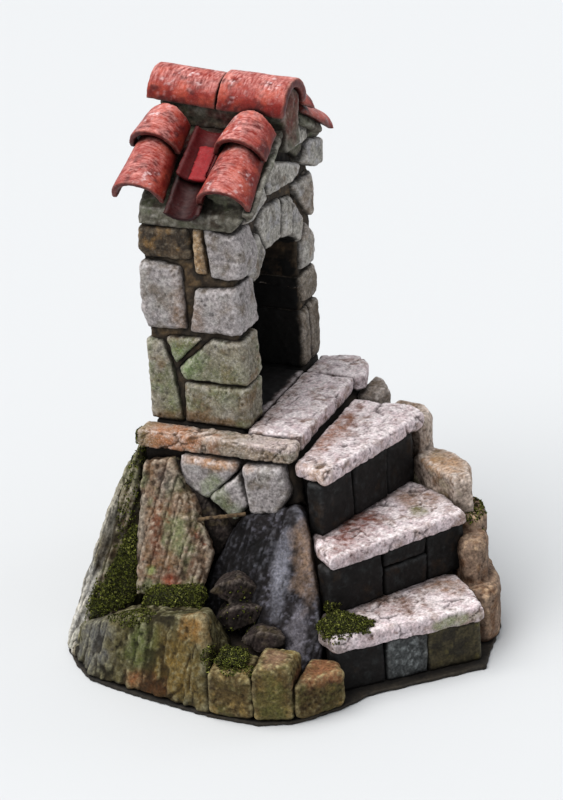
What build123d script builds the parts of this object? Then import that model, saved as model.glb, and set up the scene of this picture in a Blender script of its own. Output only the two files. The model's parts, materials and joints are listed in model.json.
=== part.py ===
from build123d import *

# Tabletop terrain ruin: a small roofed niche of rubble masonry on a rocky mound, reached by a
# winding stair of three steps and a landing. Every stone, slab and tile is a solid of its own,
# and mortar fills the joints behind them.
#
# Layout axes, in millimetres: +X runs out of the niche's mouth towards the stair, +Y along the
# niche wall, +Z up from the table. The mound and the stair are laid out from one origin; the
# landing, the wall and the roof are drawn about the wall's own near rear corner and then seated
# on the mound at SEAT. The finished part is moved so that its origin is the bottom centre of its
# bounding box.

import os
from itertools import combinations
from math import atan2, cos, radians, sin, tan

# ---------------------------------------------------------------- driving dimensions
SEAT = (2.5, -5.5, 2.8)  # where the wall's near rear corner stands in the mound's layout
PLATE_T = 0.9            # base plate
WALL_T = 22.0            # niche wall, front face to back face
WALL_LEN = 43.0          # niche wall, near end to far end
BACK_T = 4.6             # back wall of the niche
NICHE_NEAR = 8.8         # near jamb of the niche
JAMB_Y = 9.2             # where the near pillar's mortar ends and the back wall's begins
FAR_JAMB_Y = 33.4        # the same at the far pillar
INSET = 0.8              # mortar set back from the stones' faces
WALL_TOP = 102.4         # top of the wall's mortar under the ridge
LANDING_TOP = 44.5       # above the wall's own origin
LANDING_UNDER = 40.6     # above the wall's own origin
STEP_TOPS = (14.6, 28.8, 44.0)
TREAD_T = (3.8, 3.3, 3.4)
RISER_T = 4.0
NOSING = 1.1             # overhang of a tread past its risers
PITCH = 33.0             # roof slope in degrees
RIDGE_Y = 21.5
EAVE_Y = -3.5
BED_EAVE_TOP = 91.0      # top of the mortar bed at the near eave
FAR_RAISE = 4.3          # the far slope's bed is this much thicker
PAN_WALL = 0.95
COVER_WALL = 1.25
RIDGE_WALL = 2.0
COVER_R = 6.1            # cover tile at its wide lower end
COVER_HEAD_R = 4.8       # cover tile at its narrow upper end
COVER_LIFT = 1.7         # a cover tile's rim above the bed
PAN_R = 4.7
SHARD_R = 4.4            # the broken pan's curve
RIDGE_R = 6.6            # the larger of the two ridge tiles
RIDGE_TOP = 117.6
NEST_GAP = 0.15          # between a cover tile and the mortar plug under it
EASE = 0.7               # worn arris on a dressed stone
JOINT = 0.15             # half of the joint between two riser stones
BASE = (Align.CENTER, Align.CENTER, Align.MIN)


# ---------------------------------------------------------------- building blocks
def outermost(ring, normal):
    """A face's corners in order, without those that lie inside it or along its edges."""
    middle = sum(ring, Vector()) / len(ring)
    u = (ring[0] - middle).normalized()
    v = normal.cross(u)
    ring = sorted(ring, key=lambda p: atan2((p - middle).dot(v), (p - middle).dot(u)))
    dropped = True
    while dropped:
        dropped = False
        for i, corner in enumerate(ring):
            before, after = ring[i - 1], ring[(i + 1) % len(ring)]
            if (corner - before).cross(after - corner).dot(normal) < 1e-5:
                ring.pop(i)
                dropped = True
                break
    return ring


def hull(points):
    """The convex solid with these corners: a roughly hewn stone."""
    corners = [Vector(*p) for p in points]
    found = {}
    for a, b, c in combinations(corners, 3):
        normal = (b - a).cross(c - a)
        if normal.length < 1e-6:
            continue
        normal = normal.normalized()
        heights = [(p - a).dot(normal) for p in corners]
        if max(heights) > 1e-4 and min(heights) < -1e-4:
            continue
        if max(heights) > 1e-4:
            normal = normal * -1
        found[frozenset(i for i, h in enumerate(heights) if abs(h) <= 1e-4)] = normal
    faces = []
    for members, normal in found.items():
        ring = outermost([corners[i] for i in members], normal)
        faces.append(Face(Wire.make_polygon(ring, close=True)))
    return Solid(Shell(faces))


def dressed(face, outline, depth, proud=0.0, ease=EASE):
    """A block with a convex outline on a face plane and worn arrises front and back."""
    cu = sum(p[0] for p in outline) / len(outline)
    cv = sum(p[1] for p in outline) / len(outline)
    reach = max(((p[0] - cu) ** 2 + (p[1] - cv) ** 2) ** 0.5 for p in outline)
    shrink = 1 - ease / reach * 1.3
    small = [(cu + (u - cu) * shrink, cv + (v - cv) * shrink) for u, v in outline]
    layers = ((small, proud), (outline, proud - ease), (outline, ease - depth), (small, -depth))
    return hull([face.from_local_coords(Vector(u, v, w)) for ring, w in layers for u, v in ring])


def slab(outline, top, thickness, ease=EASE):
    """A flat slab with its top at a height."""
    return dressed(Plane((0, 0, top)), outline, thickness, ease=ease)


def biggest(shape):
    return max(shape.solids(), key=lambda s: s.volume)


def fitted(stone, *neighbours):
    """A stone hewn back where it meets stones that are already laid."""
    for other in neighbours:
        box, mine = other.bounding_box(), stone.bounding_box()
        apart = any(
            getattr(box.min, k) > getattr(mine.max, k) or getattr(mine.min, k) > getattr(box.max, k)
            for k in ("X", "Y", "Z"))
        if not apart:
            stone = biggest(stone - other)
    return stone


def prism(outline, low, high):
    """A straight-sided solid between two heights."""
    return Pos(0, 0, low) * extrude(make_face(Polyline(outline, close=True)), high - low)


def group(*stones):
    return Compound(children=list(stones))


END_FACE = Plane((0, 0, 0), x_dir=(1, 0, 0), z_dir=(0, -1, 0))          # near end, outlines (x, z)
FAR_FACE = Plane((0, WALL_LEN, 0), x_dir=(-1, 0, 0), z_dir=(0, 1, 0))    # far end, outlines (-x, z)
FRONT = Plane((WALL_T, 0, 0), x_dir=(0, 1, 0), z_dir=(1, 0, 0))          # arch face, outlines (y, z)
REAR = Plane((0, 0, 0), x_dir=(0, -1, 0), z_dir=(-1, 0, 0))              # back face, outlines (-y, z)

# ---------------------------------------------------------------- base and mound
GROUND = [(-10.6, -29), (-5.5, -34.5), (-0.5, -38.8), (7, -40.6), (18, -42.8), (30, -44.4),
          (41.5, -44.4), (47.6, -42), (51, -38.6), (55.6, -33), (59, -26.4), (78.4, -8.6),
          (76.8, 2), (76, 8.6), (73.6, 14), (69, 21.6), (59, 34), (45, 42), (28, 47.4), (8, 47.4),
          (-6, 43.6), (-13, 34), (-15, 20), (-15, 2), (-13, -16)]


def base_plate():
    return prism(GROUND, 0, PLATE_T)


def stairs():
    """Treads and the riser stones that they rest on, lowest step first."""
    outlines = (
        [(52.8, -29.8), (77.7, -7.3), (73.5, -1.4), (67.5, 4.5), (65, 4), (46, -21), (48.5, -27)],
        [(49.6, -22), (69.4, 6.5), (63.5, 11.5), (58.3, 15), (51.5, 18), (41, -11), (44.5, -17)],
        [(45.7, -13.6), (54.8, 17.5), (55.3, 20.2), (52.2, 23.1), (38, 23.2), (38, -10.8)],
    )
    feet = (PLATE_T, STEP_TOPS[0], STEP_TOPS[1])
    cuts = ((0, 0.35, 0.63, 1), (0, 0.4, 0.72, 1), (0, 0.34, 0.7, 1))
    parts = {}
    for step, outline in enumerate(outlines):
        top = STEP_TOPS[step]
        parts[f"step_{step + 1}_tread"] = [slab(outline, top, TREAD_T[step])]
        start, end = Vector(*outline[0]), Vector(*outline[1])
        run = end - start
        along = run.normalized()
        face = Plane(start - Vector(along.Y, -along.X) * NOSING, x_dir=along,
                     z_dir=Vector(along.Y, -along.X))
        low, high = feet[step], top - TREAD_T[step]
        stones = []
        for left, right in zip(cuts[step], cuts[step][1:]):
            a, b = left * run.length + JOINT, right * run.length - JOINT
            lean = 0.3 if len(stones) % 2 else -0.2
            bands = [(low, high)]
            if step == 1 and left == cuts[1][1]:
                bands = [(low, low + 6.6), (low + 7.0, high)]
            for z0, z1 in bands:
                ring = [(a, z0), (b, z0), (b + lean, z1), (a + lean, z1)]
                stones.append(dressed(face, ring, RISER_T, ease=0.4))
        parts[f"step_{step + 1}_risers"] = stones
    low, high = STEP_TOPS[1], STEP_TOPS[2] - TREAD_T[2]
    face = Plane((44.8, -12.6, 0), x_dir=(0.78, -0.63, 0), z_dir=(-0.63, -0.78, 0))
    ring = [(-9.4, low), (-2, low), (-2, high), (-9.4, high)]
    parts["step_3_risers"].append(dressed(face, ring, RISER_T, ease=0.4))
    return parts


def stair_core(laid):
    """Rubble and mortar fill under the treads, behind the risers."""
    fills = (
        prism([(51, -24), (72, -5), (71, 2), (60, 12), (38, 0), (38, -14)], PLATE_T,
              STEP_TOPS[0] - TREAD_T[0]),
        prism([(47, -17), (64.5, 6), (58, 13), (36, 24), (34, -6), (40, -13)], PLATE_T,
              STEP_TOPS[1] - TREAD_T[1]),
        prism([(43.4, -9), (51.4, 17), (50.6, 21.4), (38, 22.4), (37, -6.5)], PLATE_T,
              STEP_TOPS[2] - TREAD_T[2]),
    )
    return fitted(biggest(fills[0] + fills[1] + fills[2]), *laid)


def landing():
    return {
        "landing_edge_slab": slab(
            [(-1, -6.2), (34.4, -5.6), (35.3, -4.2), (34.9, -0.7), (-1, -0.7)], LANDING_TOP, 3.9),
        "landing_slab": slab(
            [(22.7, -0.3), (34.8, -0.3), (34.4, 31.3), (22.7, 31.6)], LANDING_TOP + 0.3, 3.5, 0.5),
        "landing_rear_slab": slab(
            [(22.7, 32), (34.3, 31.8), (36.4, 33.8), (33.8, 41.3), (30, 43.4), (22.7, 41)],
            LANDING_TOP + 0.2, 3.8, 0.5),
        "niche_floor_slab": slab(
            [(5.2, 9.4), (22.3, 9.2), (22.3, 32.6), (5.2, 32.4)], LANDING_TOP, 3.3, 0.3),
    }


def corbels():
    """Stones that carry the landing's near edge."""
    face = Plane((0, -7.2, 0), x_dir=(1, 0, 0), z_dir=(0, -1, 0))
    return group(
        dressed(face, [(9.6, 40.2), (22.6, 39.6), (22.3, 38), (15.2, 30.8), (9.6, 34)], 7),
        dressed(face, [(15.9, 31.2), (22.9, 37.4), (24.8, 31), (21.5, 26.4)], 7, 0.4),
        dressed(face, [(23.9, 39.3), (32.6, 40.1), (34, 34.3), (31.8, 29.6), (25.2, 28.8)], 7, 0.3))


def groove(top, foot, half_width, depth):
    """The wedge that is missing where a crack runs down the left cliff."""
    inward, aside = Vector(0.5, 0.78, -0.37), Vector(0.8, -0.56, 0.2)
    corners = []
    for end in (Vector(*top), Vector(*foot)):
        corners.append(end + inward * depth)
        for side in (1, -1):
            corners.append(end - inward * depth + aside * (2 * half_width * side))
    return hull([tuple(c) for c in corners])


def front_rocks(laid):
    """Hewn rocks below the landing's near edge, nearest the table last."""
    shapes = {
        "buttress_rock": [
            (21.2, -13.4, 23), (25.6, -13, 30.8), (34, -13.4, 32), (38.6, -12.8, 34.8),
            (41.2, -14.4, 31.4), (45.2, -20, 21.8), (49, -27.4, 10), (49.8, -30, PLATE_T),
            (41, -31, PLATE_T), (36.6, -27, 9), (32, -20, 20.6), (17.6, -18.4, 13),
            (20, -21, PLATE_T), (44, -8, PLATE_T), (30, -5, PLATE_T), (25, -6, 28),
            (38, -6, 33), (19, -8, 19)],
        "leaning_rock": [
            (3, -12.9, 40.6), (10, -13.3, 42.2), (14, -15.5, 34.7), (20.5, -18, 23.5),
            (19.8, -24, 16.5), (5.5, -25, 15.2), (3, -7, 38.6), (11, -8, 40.4), (17, -8, 20),
            (3, -12, 10), (15, -14, 10), (3, -17.4, 28.2)],
        "left_cliff": [
            (-10.7, -29.2, PLATE_T), (-5, -33.5, PLATE_T), (6, -26, PLATE_T), (2, -6, PLATE_T),
            (-14.4, -6, PLATE_T), (-13.2, -16, PLATE_T), (-12.4, -16, 11.6), (-6.6, -9.7, 29.2), (-1, -9.5, 39.6),
            (1.4, -12, 42.8), (2.6, -16.7, 28.4), (3, -24, 12), (-5, -28, 11.4), (2.5, -6.5, 42.6)],
        "left_cliff_rear": [
            (-14.6, -5, PLATE_T), (-15, 2, PLATE_T), (-15, 19.4, PLATE_T), (-2, 20, PLATE_T),
            (-2, -3, PLATE_T), (-12.2, 3, 16), (-5.6, 1.2, 32.2), (-0.6, -4.5, 42.2),
            (2, -4.5, 43), (2, 11.5, 42.8), (-5.6, 13, 34.4), (-12, 17, 18)],
        "lower_boulder": [
            (-9.8, -29.6, PLATE_T), (-5.5, -34.4, PLATE_T), (-0.5, -38.8, PLATE_T),
            (7, -40.6, PLATE_T), (18, -42.9, PLATE_T), (29.9, -44.4, PLATE_T),
            (29.9, -26, PLATE_T), (0, -20, PLATE_T), (28.8, -41, 12), (27, -37.4, 20),
            (16.3, -36.6, 17.8),
            (6.5, -35.4, 15.2), (-0.4, -32.6, 11.4), (24, -27, 15.5), (8, -23, 13.5),
            (1.5, -37, 6), (-6.6, -28.6, 7.6)],
    }
    rocks = {}
    for name, corners in shapes.items():
        rock = hull(corners)
        if name == "left_cliff":
            rock -= groove((-2.6, -13.6, 31), (-7.4, -29.6, 3), 1.5, 1.9)
            rock -= groove((-1.6, -10.4, 37), (-1, -17, 26), 1.0, 1.4)
        rocks[name] = fitted(biggest(rock), *laid, *rocks.values())
    return rocks


def cleft_slates(laid):
    """A wedge of rock under the corbels and three broken slates in front of the buttress."""
    shapes = (
        [(10.4, -12, 42.2), (13, -12, 34.5), (17.7, -12.6, 29.4), (22.6, -13.2, 26), (21.4, -13.6, 20.6),
         (15.6, -14.4, 21.6), (12, -13, 30), (10, -7, 42), (24, -7, 27), (22, -7, 20), (12, -7, 24)],
        [(22.1, -24, 17.4), (24.6, -24, 20.2), (29, -23.6, 21.2), (34.2, -19.6, 17.8),
         (33.4, -20, 15.4), (27.3, -24.4, 15.9), (22, -15, 18), (27, -14.4, 20.4),
         (31, -14.4, 18.6), (24, -14.4, 15)],
        [(24.4, -27, 12.8), (28.2, -27, 16.2), (36.2, -22, 15.6), (36, -22.4, 13.2),
         (28.2, -27.6, 10.8), (22.4, -17, 13), (25, -16, 15.6), (33, -15, 13), (30, -15, 10)],
        [(31.4, -30, 10.6), (35.9, -29, 13), (41, -28.2, 12.6), (41.4, -28.6, 10.6),
         (35.6, -30.6, 8.4), (31, -20, 10), (35, -19, 9.4), (33, -19.4, 12.4)],
    )
    slates = []
    for corners in shapes:
        slates.append(fitted(hull(corners), *laid, *slates))
    return group(*slates)


def foot_stones(laid):
    """Squared stones along the foot of the mound."""
    outlines = (
        ([(30.5, -44.5), (40.2, -44.5), (38.6, -35), (29.4, -34.6)], 11.4),
        ([(40.7, -44.5), (47.9, -41.7), (47, -34), (39.2, -34.6)], 13.6),
        ([(48.4, -41.3), (51.4, -38.4), (56, -33), (53.4, -29), (47.4, -30)], 9.6),
    )
    stones = []
    for outline, top in outlines:
        stones.append(fitted(slab(outline, top, top - PLATE_T, 1.1), *laid, *stones))
    return group(*stones)


def side_stones(laid):
    """Rough stones that hold the far side of the stair, in an upper and a lower lot."""
    lots = {
        "side_stones_upper": (
            ([(36.6, 28.4), (41.6, 27.5), (43, 31.8), (39.9, 36.4), (37.2, 38.2)], 34, 43),
            ([(46, 24), (54.4, 20), (55.2, 22.4), (55, 26), (52.4, 29.4), (45, 30)], 27, 41.6),
            ([(53, 19), (57, 15.6), (65.6, 10), (68.8, 12.2), (66, 19), (59.6, 23.6), (53, 25)], 20, 34.2),
        ),
        "side_stones_lower": (
            ([(63, 16), (67, 8.8), (70.6, 9.4), (71.2, 14.4), (68.2, 19.4), (63, 20)], 13, 25.6),
            ([(65.5, 8), (69.8, 3.4), (72.6, 3.2), (73.8, 6), (72.6, 11), (68, 14), (65, 12)], 9, 22.6),
            ([(67, 6), (72.6, -0.6), (76, 0), (76.9, 3.4), (75.6, 9), (71, 16.4), (67, 13)],
             PLATE_T, 13.4),
        ),
    }
    nodes, stones = {}, []
    for name, lot in lots.items():
        first = len(stones)
        for outline, low, high in lot:
            stones.append(fitted(slab(outline, high, high - low, 1.2), *laid, *stones))
        nodes[name] = group(*stones[first:])
    return nodes


def rear_rocks(laid):
    """Rocks round the back of the mound."""
    shapes = {
        "rear_rock_left": [
            (-15, 20, PLATE_T), (-13, 34, PLATE_T), (-6, 43.6, PLATE_T), (8, 47.4, PLATE_T),
            (8, 30, PLATE_T), (-4, 20.5, PLATE_T), (-11.5, 22, 18), (-8, 33, 22), (-3, 39.6, 26),
            (7, 43, 20), (-5.4, 18, 34), (-1, 30, 40), (4, 38, 41), (2, 15, 42.4), (8, 39.6, 40)],
        "rear_rock_middle": [
            (8.4, 47.4, PLATE_T), (28, 47.4, PLATE_T), (44.8, 42, PLATE_T), (40, 28, PLATE_T),
            (9, 30, PLATE_T), (9, 43.6, 22), (27, 44, 20), (39, 39.6, 18), (10, 40, 41.6),
            (26, 40.6, 42), (36, 37.4, 40), (36.6, 30, 38)],
        "rear_rock_right": [
            (45, 42, PLATE_T), (59, 34, PLATE_T), (69, 21.6, PLATE_T), (60, 12, PLATE_T),
            (42, 26, PLATE_T), (44, 38, 18), (57, 31.4, 14), (67, 21, 12), (41, 31, 38),
            (50, 28.6, 36), (59, 23.4, 29), (60, 14, 24), (44, 23.4, 38), (66, 19, 20)],
    }
    rocks = {}
    for name, corners in shapes.items():
        rocks[name] = fitted(hull(corners), *laid, *rocks.values())
    return rocks


def rock_core(laid):
    """Hidden core of the mound: it carries the wall and backs every rock."""
    right, near, up = SEAT
    under = LANDING_UNDER + up
    pedestal = hull([
        (-8, -12, PLATE_T), (-11, 20, PLATE_T), (-3, 38, PLATE_T), (28, 42, PLATE_T),
        (54, 28, PLATE_T), (60, 12, PLATE_T), (46, -14, PLATE_T), (20, -12, PLATE_T),
        (0.4 + right, -4.4 + near, under), (33.4 + right, -4 + near, under),
        (34 + right, 36 + near, under - 1), (29 + right, 41.6 + near, under),
        (0.6 + right, 42.4 + near, under)])
    foot = hull([
        (0, -24, PLATE_T), (29, -36, PLATE_T), (47, -36, PLATE_T), (51, -24, PLATE_T),
        (46, -8, PLATE_T), (2, -8, PLATE_T), (4, -18, 12), (27, -26, 9), (44, -27, 8),
        (44, -10, 12), (4, -10, 14)])
    footing = Pos(0.3 + right, 0.2 + near, under) * Box(
        WALL_T - 0.7, WALL_LEN - 0.6, LANDING_TOP - LANDING_UNDER,
        align=(Align.MIN, Align.MIN, Align.MIN))
    return fitted(biggest(pedestal + footing + foot), *laid)


# ---------------------------------------------------------------- niche wall
def near_pillar(laid):
    """Stones of the near end, as outlines on the end face, bottom course first."""
    outlines = {
        "pillar_base_stone": [(7.9, 44.7), (22.6, 44.7), (22.9, 54), (8.3, 53.9)],
        "pillar_tall_stone": [(0, 44.6), (7.2, 44.7), (5.7, 57), (3.8, 63.2), (0.2, 63.1)],
        "pillar_wedge_stone": [(4.9, 64.2), (13.3, 64.7), (6.7, 58.4)],
        "pillar_second_stone": [(15.6, 64.7), (22.6, 64.7), (23, 54.9), (8.3, 54.8), (7.3, 57.2)],
        "pillar_left_stone": [
            (0, 80.4), (1.7, 81.3), (9.4, 80.6), (9.9, 66.6), (1, 66.1), (-0.2, 70)],
        "pillar_right_stone": [(12.8, 75.8), (22, 76.9), (22.8, 66.7), (11, 66.3)],
        "pillar_top_left_stone": [(0.1, 88.6), (12, 89.2), (12.4, 82.4), (1.4, 82), (-0.2, 83.7)],
        "pillar_top_sliver_stone": [(12.9, 89.3), (14.8, 89.4), (15.5, 79.3), (12.9, 79.4)],
        "pillar_top_right_stone": [
            (15.4, 89.5), (22.2, 88.6), (24, 83.6), (23.3, 79.2), (19.8, 78.4), (16.4, 79)],
    }
    proud = {"pillar_right_stone": 0.6, "pillar_left_stone": 0.4, "pillar_top_left_stone": -0.3}
    stones = {
        name: fitted(dressed(END_FACE, ring, NICHE_NEAR + proud.get(name, 0) - 0.2,
                             proud.get(name, 0)), *laid)
        for name, ring in outlines.items()}
    top = [stones.pop(name) for name in list(stones) if "_top_" in name]
    return {**stones, "pillar_top_stones": group(*top)}


def far_pillar(laid):
    """Stones of the far end: the front ones show beside the niche, the rear ones behind."""
    front = (
        ([(33.3, 57.9), (37, 58.2), (37.2, 44.7), (33.3, 44.7)], 12),
        ([(37.6, 58.6), (42.8, 57.9), (42.9, 44.7), (37.8, 44.7)], 12),
        ([(35.8, 66.6), (42.3, 66), (43.3, 61.1), (42, 59), (34.9, 59.9), (33.6, 65.5)], 12),
    )
    rear = (
        ([(-9.4, 44.7), (0, 44.7), (0.2, 55.6), (-9.2, 55.4)], 9.6),
        ([(-9.6, 56.2), (0.2, 56.4), (0, 67), (-9.4, 67.2)], 9.4),
        ([(-8.2, 68), (0, 67.8), (0.2, 78.4), (-9, 78.6)], 9.7),
        ([(-10.4, 79.4), (0.1, 79.2), (0, 88.4), (-10.6, 88.6)], 9.5),
        ([(-21, 79.4), (-11.2, 79.2), (-11.3, 88.6), (-21.4, 88.4)], 4),
    )
    stones = [dressed(FRONT, ring, depth, 0.1) for ring, depth in front]
    stones += [dressed(FAR_FACE, ring, depth, 0.1) for ring, depth in rear]
    return group(*[fitted(stone, *laid) for stone in stones])


def arch_stones():
    """The arch ring over the niche's mouth, near springer to far springer."""
    ring = (
        ([(4.6, 79.4), (12.2, 85), (16, 79.6), (10.1, 74.9)], 14, 0.4),
        ([(13.2, 86.2), (17, 88.8), (26, 87.5), (24.5, 79.1), (16.9, 79.2)], 15.6, 0),
        ([(32.1, 85.2), (37.4, 78.6), (34.9, 74.3), (30.9, 77.3)], 11.4, 0),
        ([(38, 77.5), (42.4, 73.5), (41.2, 67.2), (34.4, 67.8), (35.3, 73.8)], 11.6, 0.4),
    )
    keystone = [(26.7, 87.4), (31.4, 85.9), (30.2, 77.7), (25.2, 79)]
    return {
        "arch_stones": group(*[dressed(FRONT, outline, depth, proud)
                               for outline, depth, proud in ring]),
        "arch_keystone": dressed(FRONT, keystone, 15.6, 0.3),
    }


def gable_stones():
    """Stones of the front gable, between the arch ring and the roof."""
    stones = (
        ([(3.6, 90.3), (14.4, 95.6), (15.4, 91.6), (7.4, 89.6)], 5, 1.6),
        ([(15.2, 96.2), (17.4, 99.2), (33.8, 92.6), (28.4, 91), (16.2, 92)], 6, 2),
        ([(23.6, 101.6), (25.2, 105.4), (36.4, 101.6), (36.6, 97.8), (29.8, 98)], 6, 2.4),
        ([(37.9, 97), (46.2, 94.4), (45, 89.3), (41.5, 89.5), (34.9, 92.8)], 10, 2),
        ([(31.9, 88), (42.8, 87.8), (42.2, 77.8), (40, 79.2)], 6, 0.4),
    )
    return group(*[dressed(FRONT, outline, depth, proud) for outline, depth, proud in stones])


def back_stones():
    """Coursed stones of the niche's back wall and the gable above it."""
    courses = (
        (44.7, 54.0, (9.2, 20.6, 33.0)), (54.7, 63.6, (9.2, 15.6, 27.6, 33.0)),
        (64.3, 73.0, (9.2, 22.2, 33.0)), (73.7, 81.6, (9.2, 17.6, 26.6, 33.0)),
        (82.3, 90.2, (9.2, 20.8, 33.0)), (90.9, 98.6, (13.4, 21.4, 29.4)),
    )
    stones = []
    for low, high, splits in courses:
        for n, (left, right) in enumerate(zip(splits, splits[1:])):
            tilt = 0.25 if n % 2 else -0.2
            ring = [(-right + 0.35, low), (-left - 0.35, low + tilt), (-left - 0.35, high),
                    (-right + 0.35, high + tilt)]
            stones.append(dressed(REAR, ring, BACK_T - 0.2, 0.1 * (n % 2), 0.5))
    return group(*stones)


def wall_mortar(laid):
    """Mortar in the wall's joints, set back from the stones' faces, in four stretches."""
    eave = 89.4
    profile = [(INSET, LANDING_TOP), (INSET, eave), (RIDGE_Y, WALL_TOP), (WALL_LEN - INSET, eave),
               (WALL_LEN - INSET, LANDING_TOP)]
    niche = [(8.4, LANDING_TOP), (8.4, 66.6), (10.2, 74.6), (16.4, 79.6), (25.2, 79.3),
             (30.4, 77.8), (34.2, 74.2), (33.8, 66), (33.6, LANDING_TOP)]
    face = FRONT.offset(-INSET)
    solid = extrude(face * make_face(Polyline(profile, close=True)), -(WALL_T - 2 * INSET))
    mouth = extrude(FRONT.offset(1) * make_face(Polyline(niche, close=True)), -(WALL_T + 1 - BACK_T))
    solid = solid - mouth
    corner = (Align.MIN, Align.MIN, Align.MIN)
    low, tall = LANDING_TOP - 1, WALL_TOP
    between = FAR_JAMB_Y - JAMB_Y
    regions = {
        "near_pillar_mortar": Pos(-1, -1, low) * Box(WALL_T + 2, JAMB_Y + 1, tall, align=corner),
        "far_pillar_mortar": Pos(-1, FAR_JAMB_Y, low) * Box(WALL_T + 2, WALL_LEN, tall, align=corner),
        "back_wall_mortar": Pos(-1, JAMB_Y, low) * Box(1 + BACK_T, between, tall, align=corner),
        "arch_mortar": Pos(BACK_T, JAMB_Y, low) * Box(WALL_T, between, tall, align=corner),
    }
    return {name: fitted(biggest(solid & region), *laid) for name, region in regions.items()}


# ---------------------------------------------------------------- roof
def on_slope(x, run, height, far=False):
    """A point over the mortar bed: run is the distance in from the eave line, along Y."""
    up = BED_EAVE_TOP + (FAR_RAISE / cos(radians(PITCH)) if far else 0)
    y = EAVE_Y + run - height * sin(radians(PITCH))
    z = up + run * tan(radians(PITCH)) + height * cos(radians(PITCH))
    return Vector(x, 2 * RIDGE_Y - y if far else y, z)


def half_tile(low, high, r_low, r_high, wall, half_angle=90, cup=False):
    """A tapered half-round tile: an arched cover, or a cupped pan."""
    axis = high - low
    frame = Plane(low, x_dir=(1, 0, 0), z_dir=axis.normalized())
    crown = -1 if frame.y_dir.Z < 0 else 1
    side = -crown if cup else crown
    length = axis.length
    shell = Cone(r_low, r_high, length, align=BASE)
    shell -= Cone(r_low - wall, r_high - wall, length, align=BASE)
    cut = min(r_low, r_high) * cos(radians(half_angle))
    keep = Box(4 * r_low, 3 * r_low, length, align=BASE)
    keep = Pos(0, side * (1.5 * r_low + cut), 0) * keep
    return frame * (shell & keep)


def filled_tile(low, high, r_low, r_high, height):
    """The room that a cover tile takes, its hollow included."""
    axis = high - low
    frame = Plane(low, x_dir=(1, 0, 0), z_dir=axis.normalized())
    side = -1 if frame.y_dir.Z < 0 else 1
    room = Cone(r_low, r_high, axis.length, align=BASE)
    keep = Pos(0, side * 1.5 * r_low, 0) * Box(4 * r_low, 3 * r_low, axis.length, align=BASE)
    skirt = Pos(0, -side * height / 2, 0) * Box(
        2 * min(r_low, r_high), height, axis.length, align=BASE)
    return frame * ((room & keep) + skirt)


def ridge():
    """Two ridge tiles end to end, open half rounds that both sag towards the front."""
    spans = (
        ("ridge_tile_left", -3.2, 12.7, RIDGE_TOP, -1.3, RIDGE_R - 0.6),
        ("ridge_tile_right", 13.2, 28.3, RIDGE_TOP - 0.6, -0.8, RIDGE_R),
    )
    tiles = {}
    for name, x0, x1, top, fall, radius in spans:
        axis = Vector(x1 - x0, 0, fall)
        length = axis.length
        shell = Cylinder(radius, length, align=BASE)
        shell -= Cylinder(radius - RIDGE_WALL, length, align=BASE)
        shell &= Pos(0, radius, 0) * Box(3 * radius, 2 * radius, length, align=BASE)
        frame = Plane((x0, RIDGE_Y, top - radius), x_dir=(0, 1, 0), z_dir=axis.normalized())
        tiles[name] = frame * shell
    return tiles


def ridge_mortar(laid):
    """Mortar under the ridge tiles, showing at the open end of each."""
    springing = RIDGE_TOP - RIDGE_R - 1.2
    length = 28.4
    half = RIDGE_R - RIDGE_WALL - 0.1
    plug = Cylinder(half, length, align=BASE)
    plug += Pos(0, -half, 0) * Box(1.6 * half, 2 * half, length, align=BASE)
    frame = Plane((-0.8, RIDGE_Y, springing), x_dir=(0, 1, 0), z_dir=(1, 0, 0))
    return fitted(biggest(frame * plug), *laid)


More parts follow.
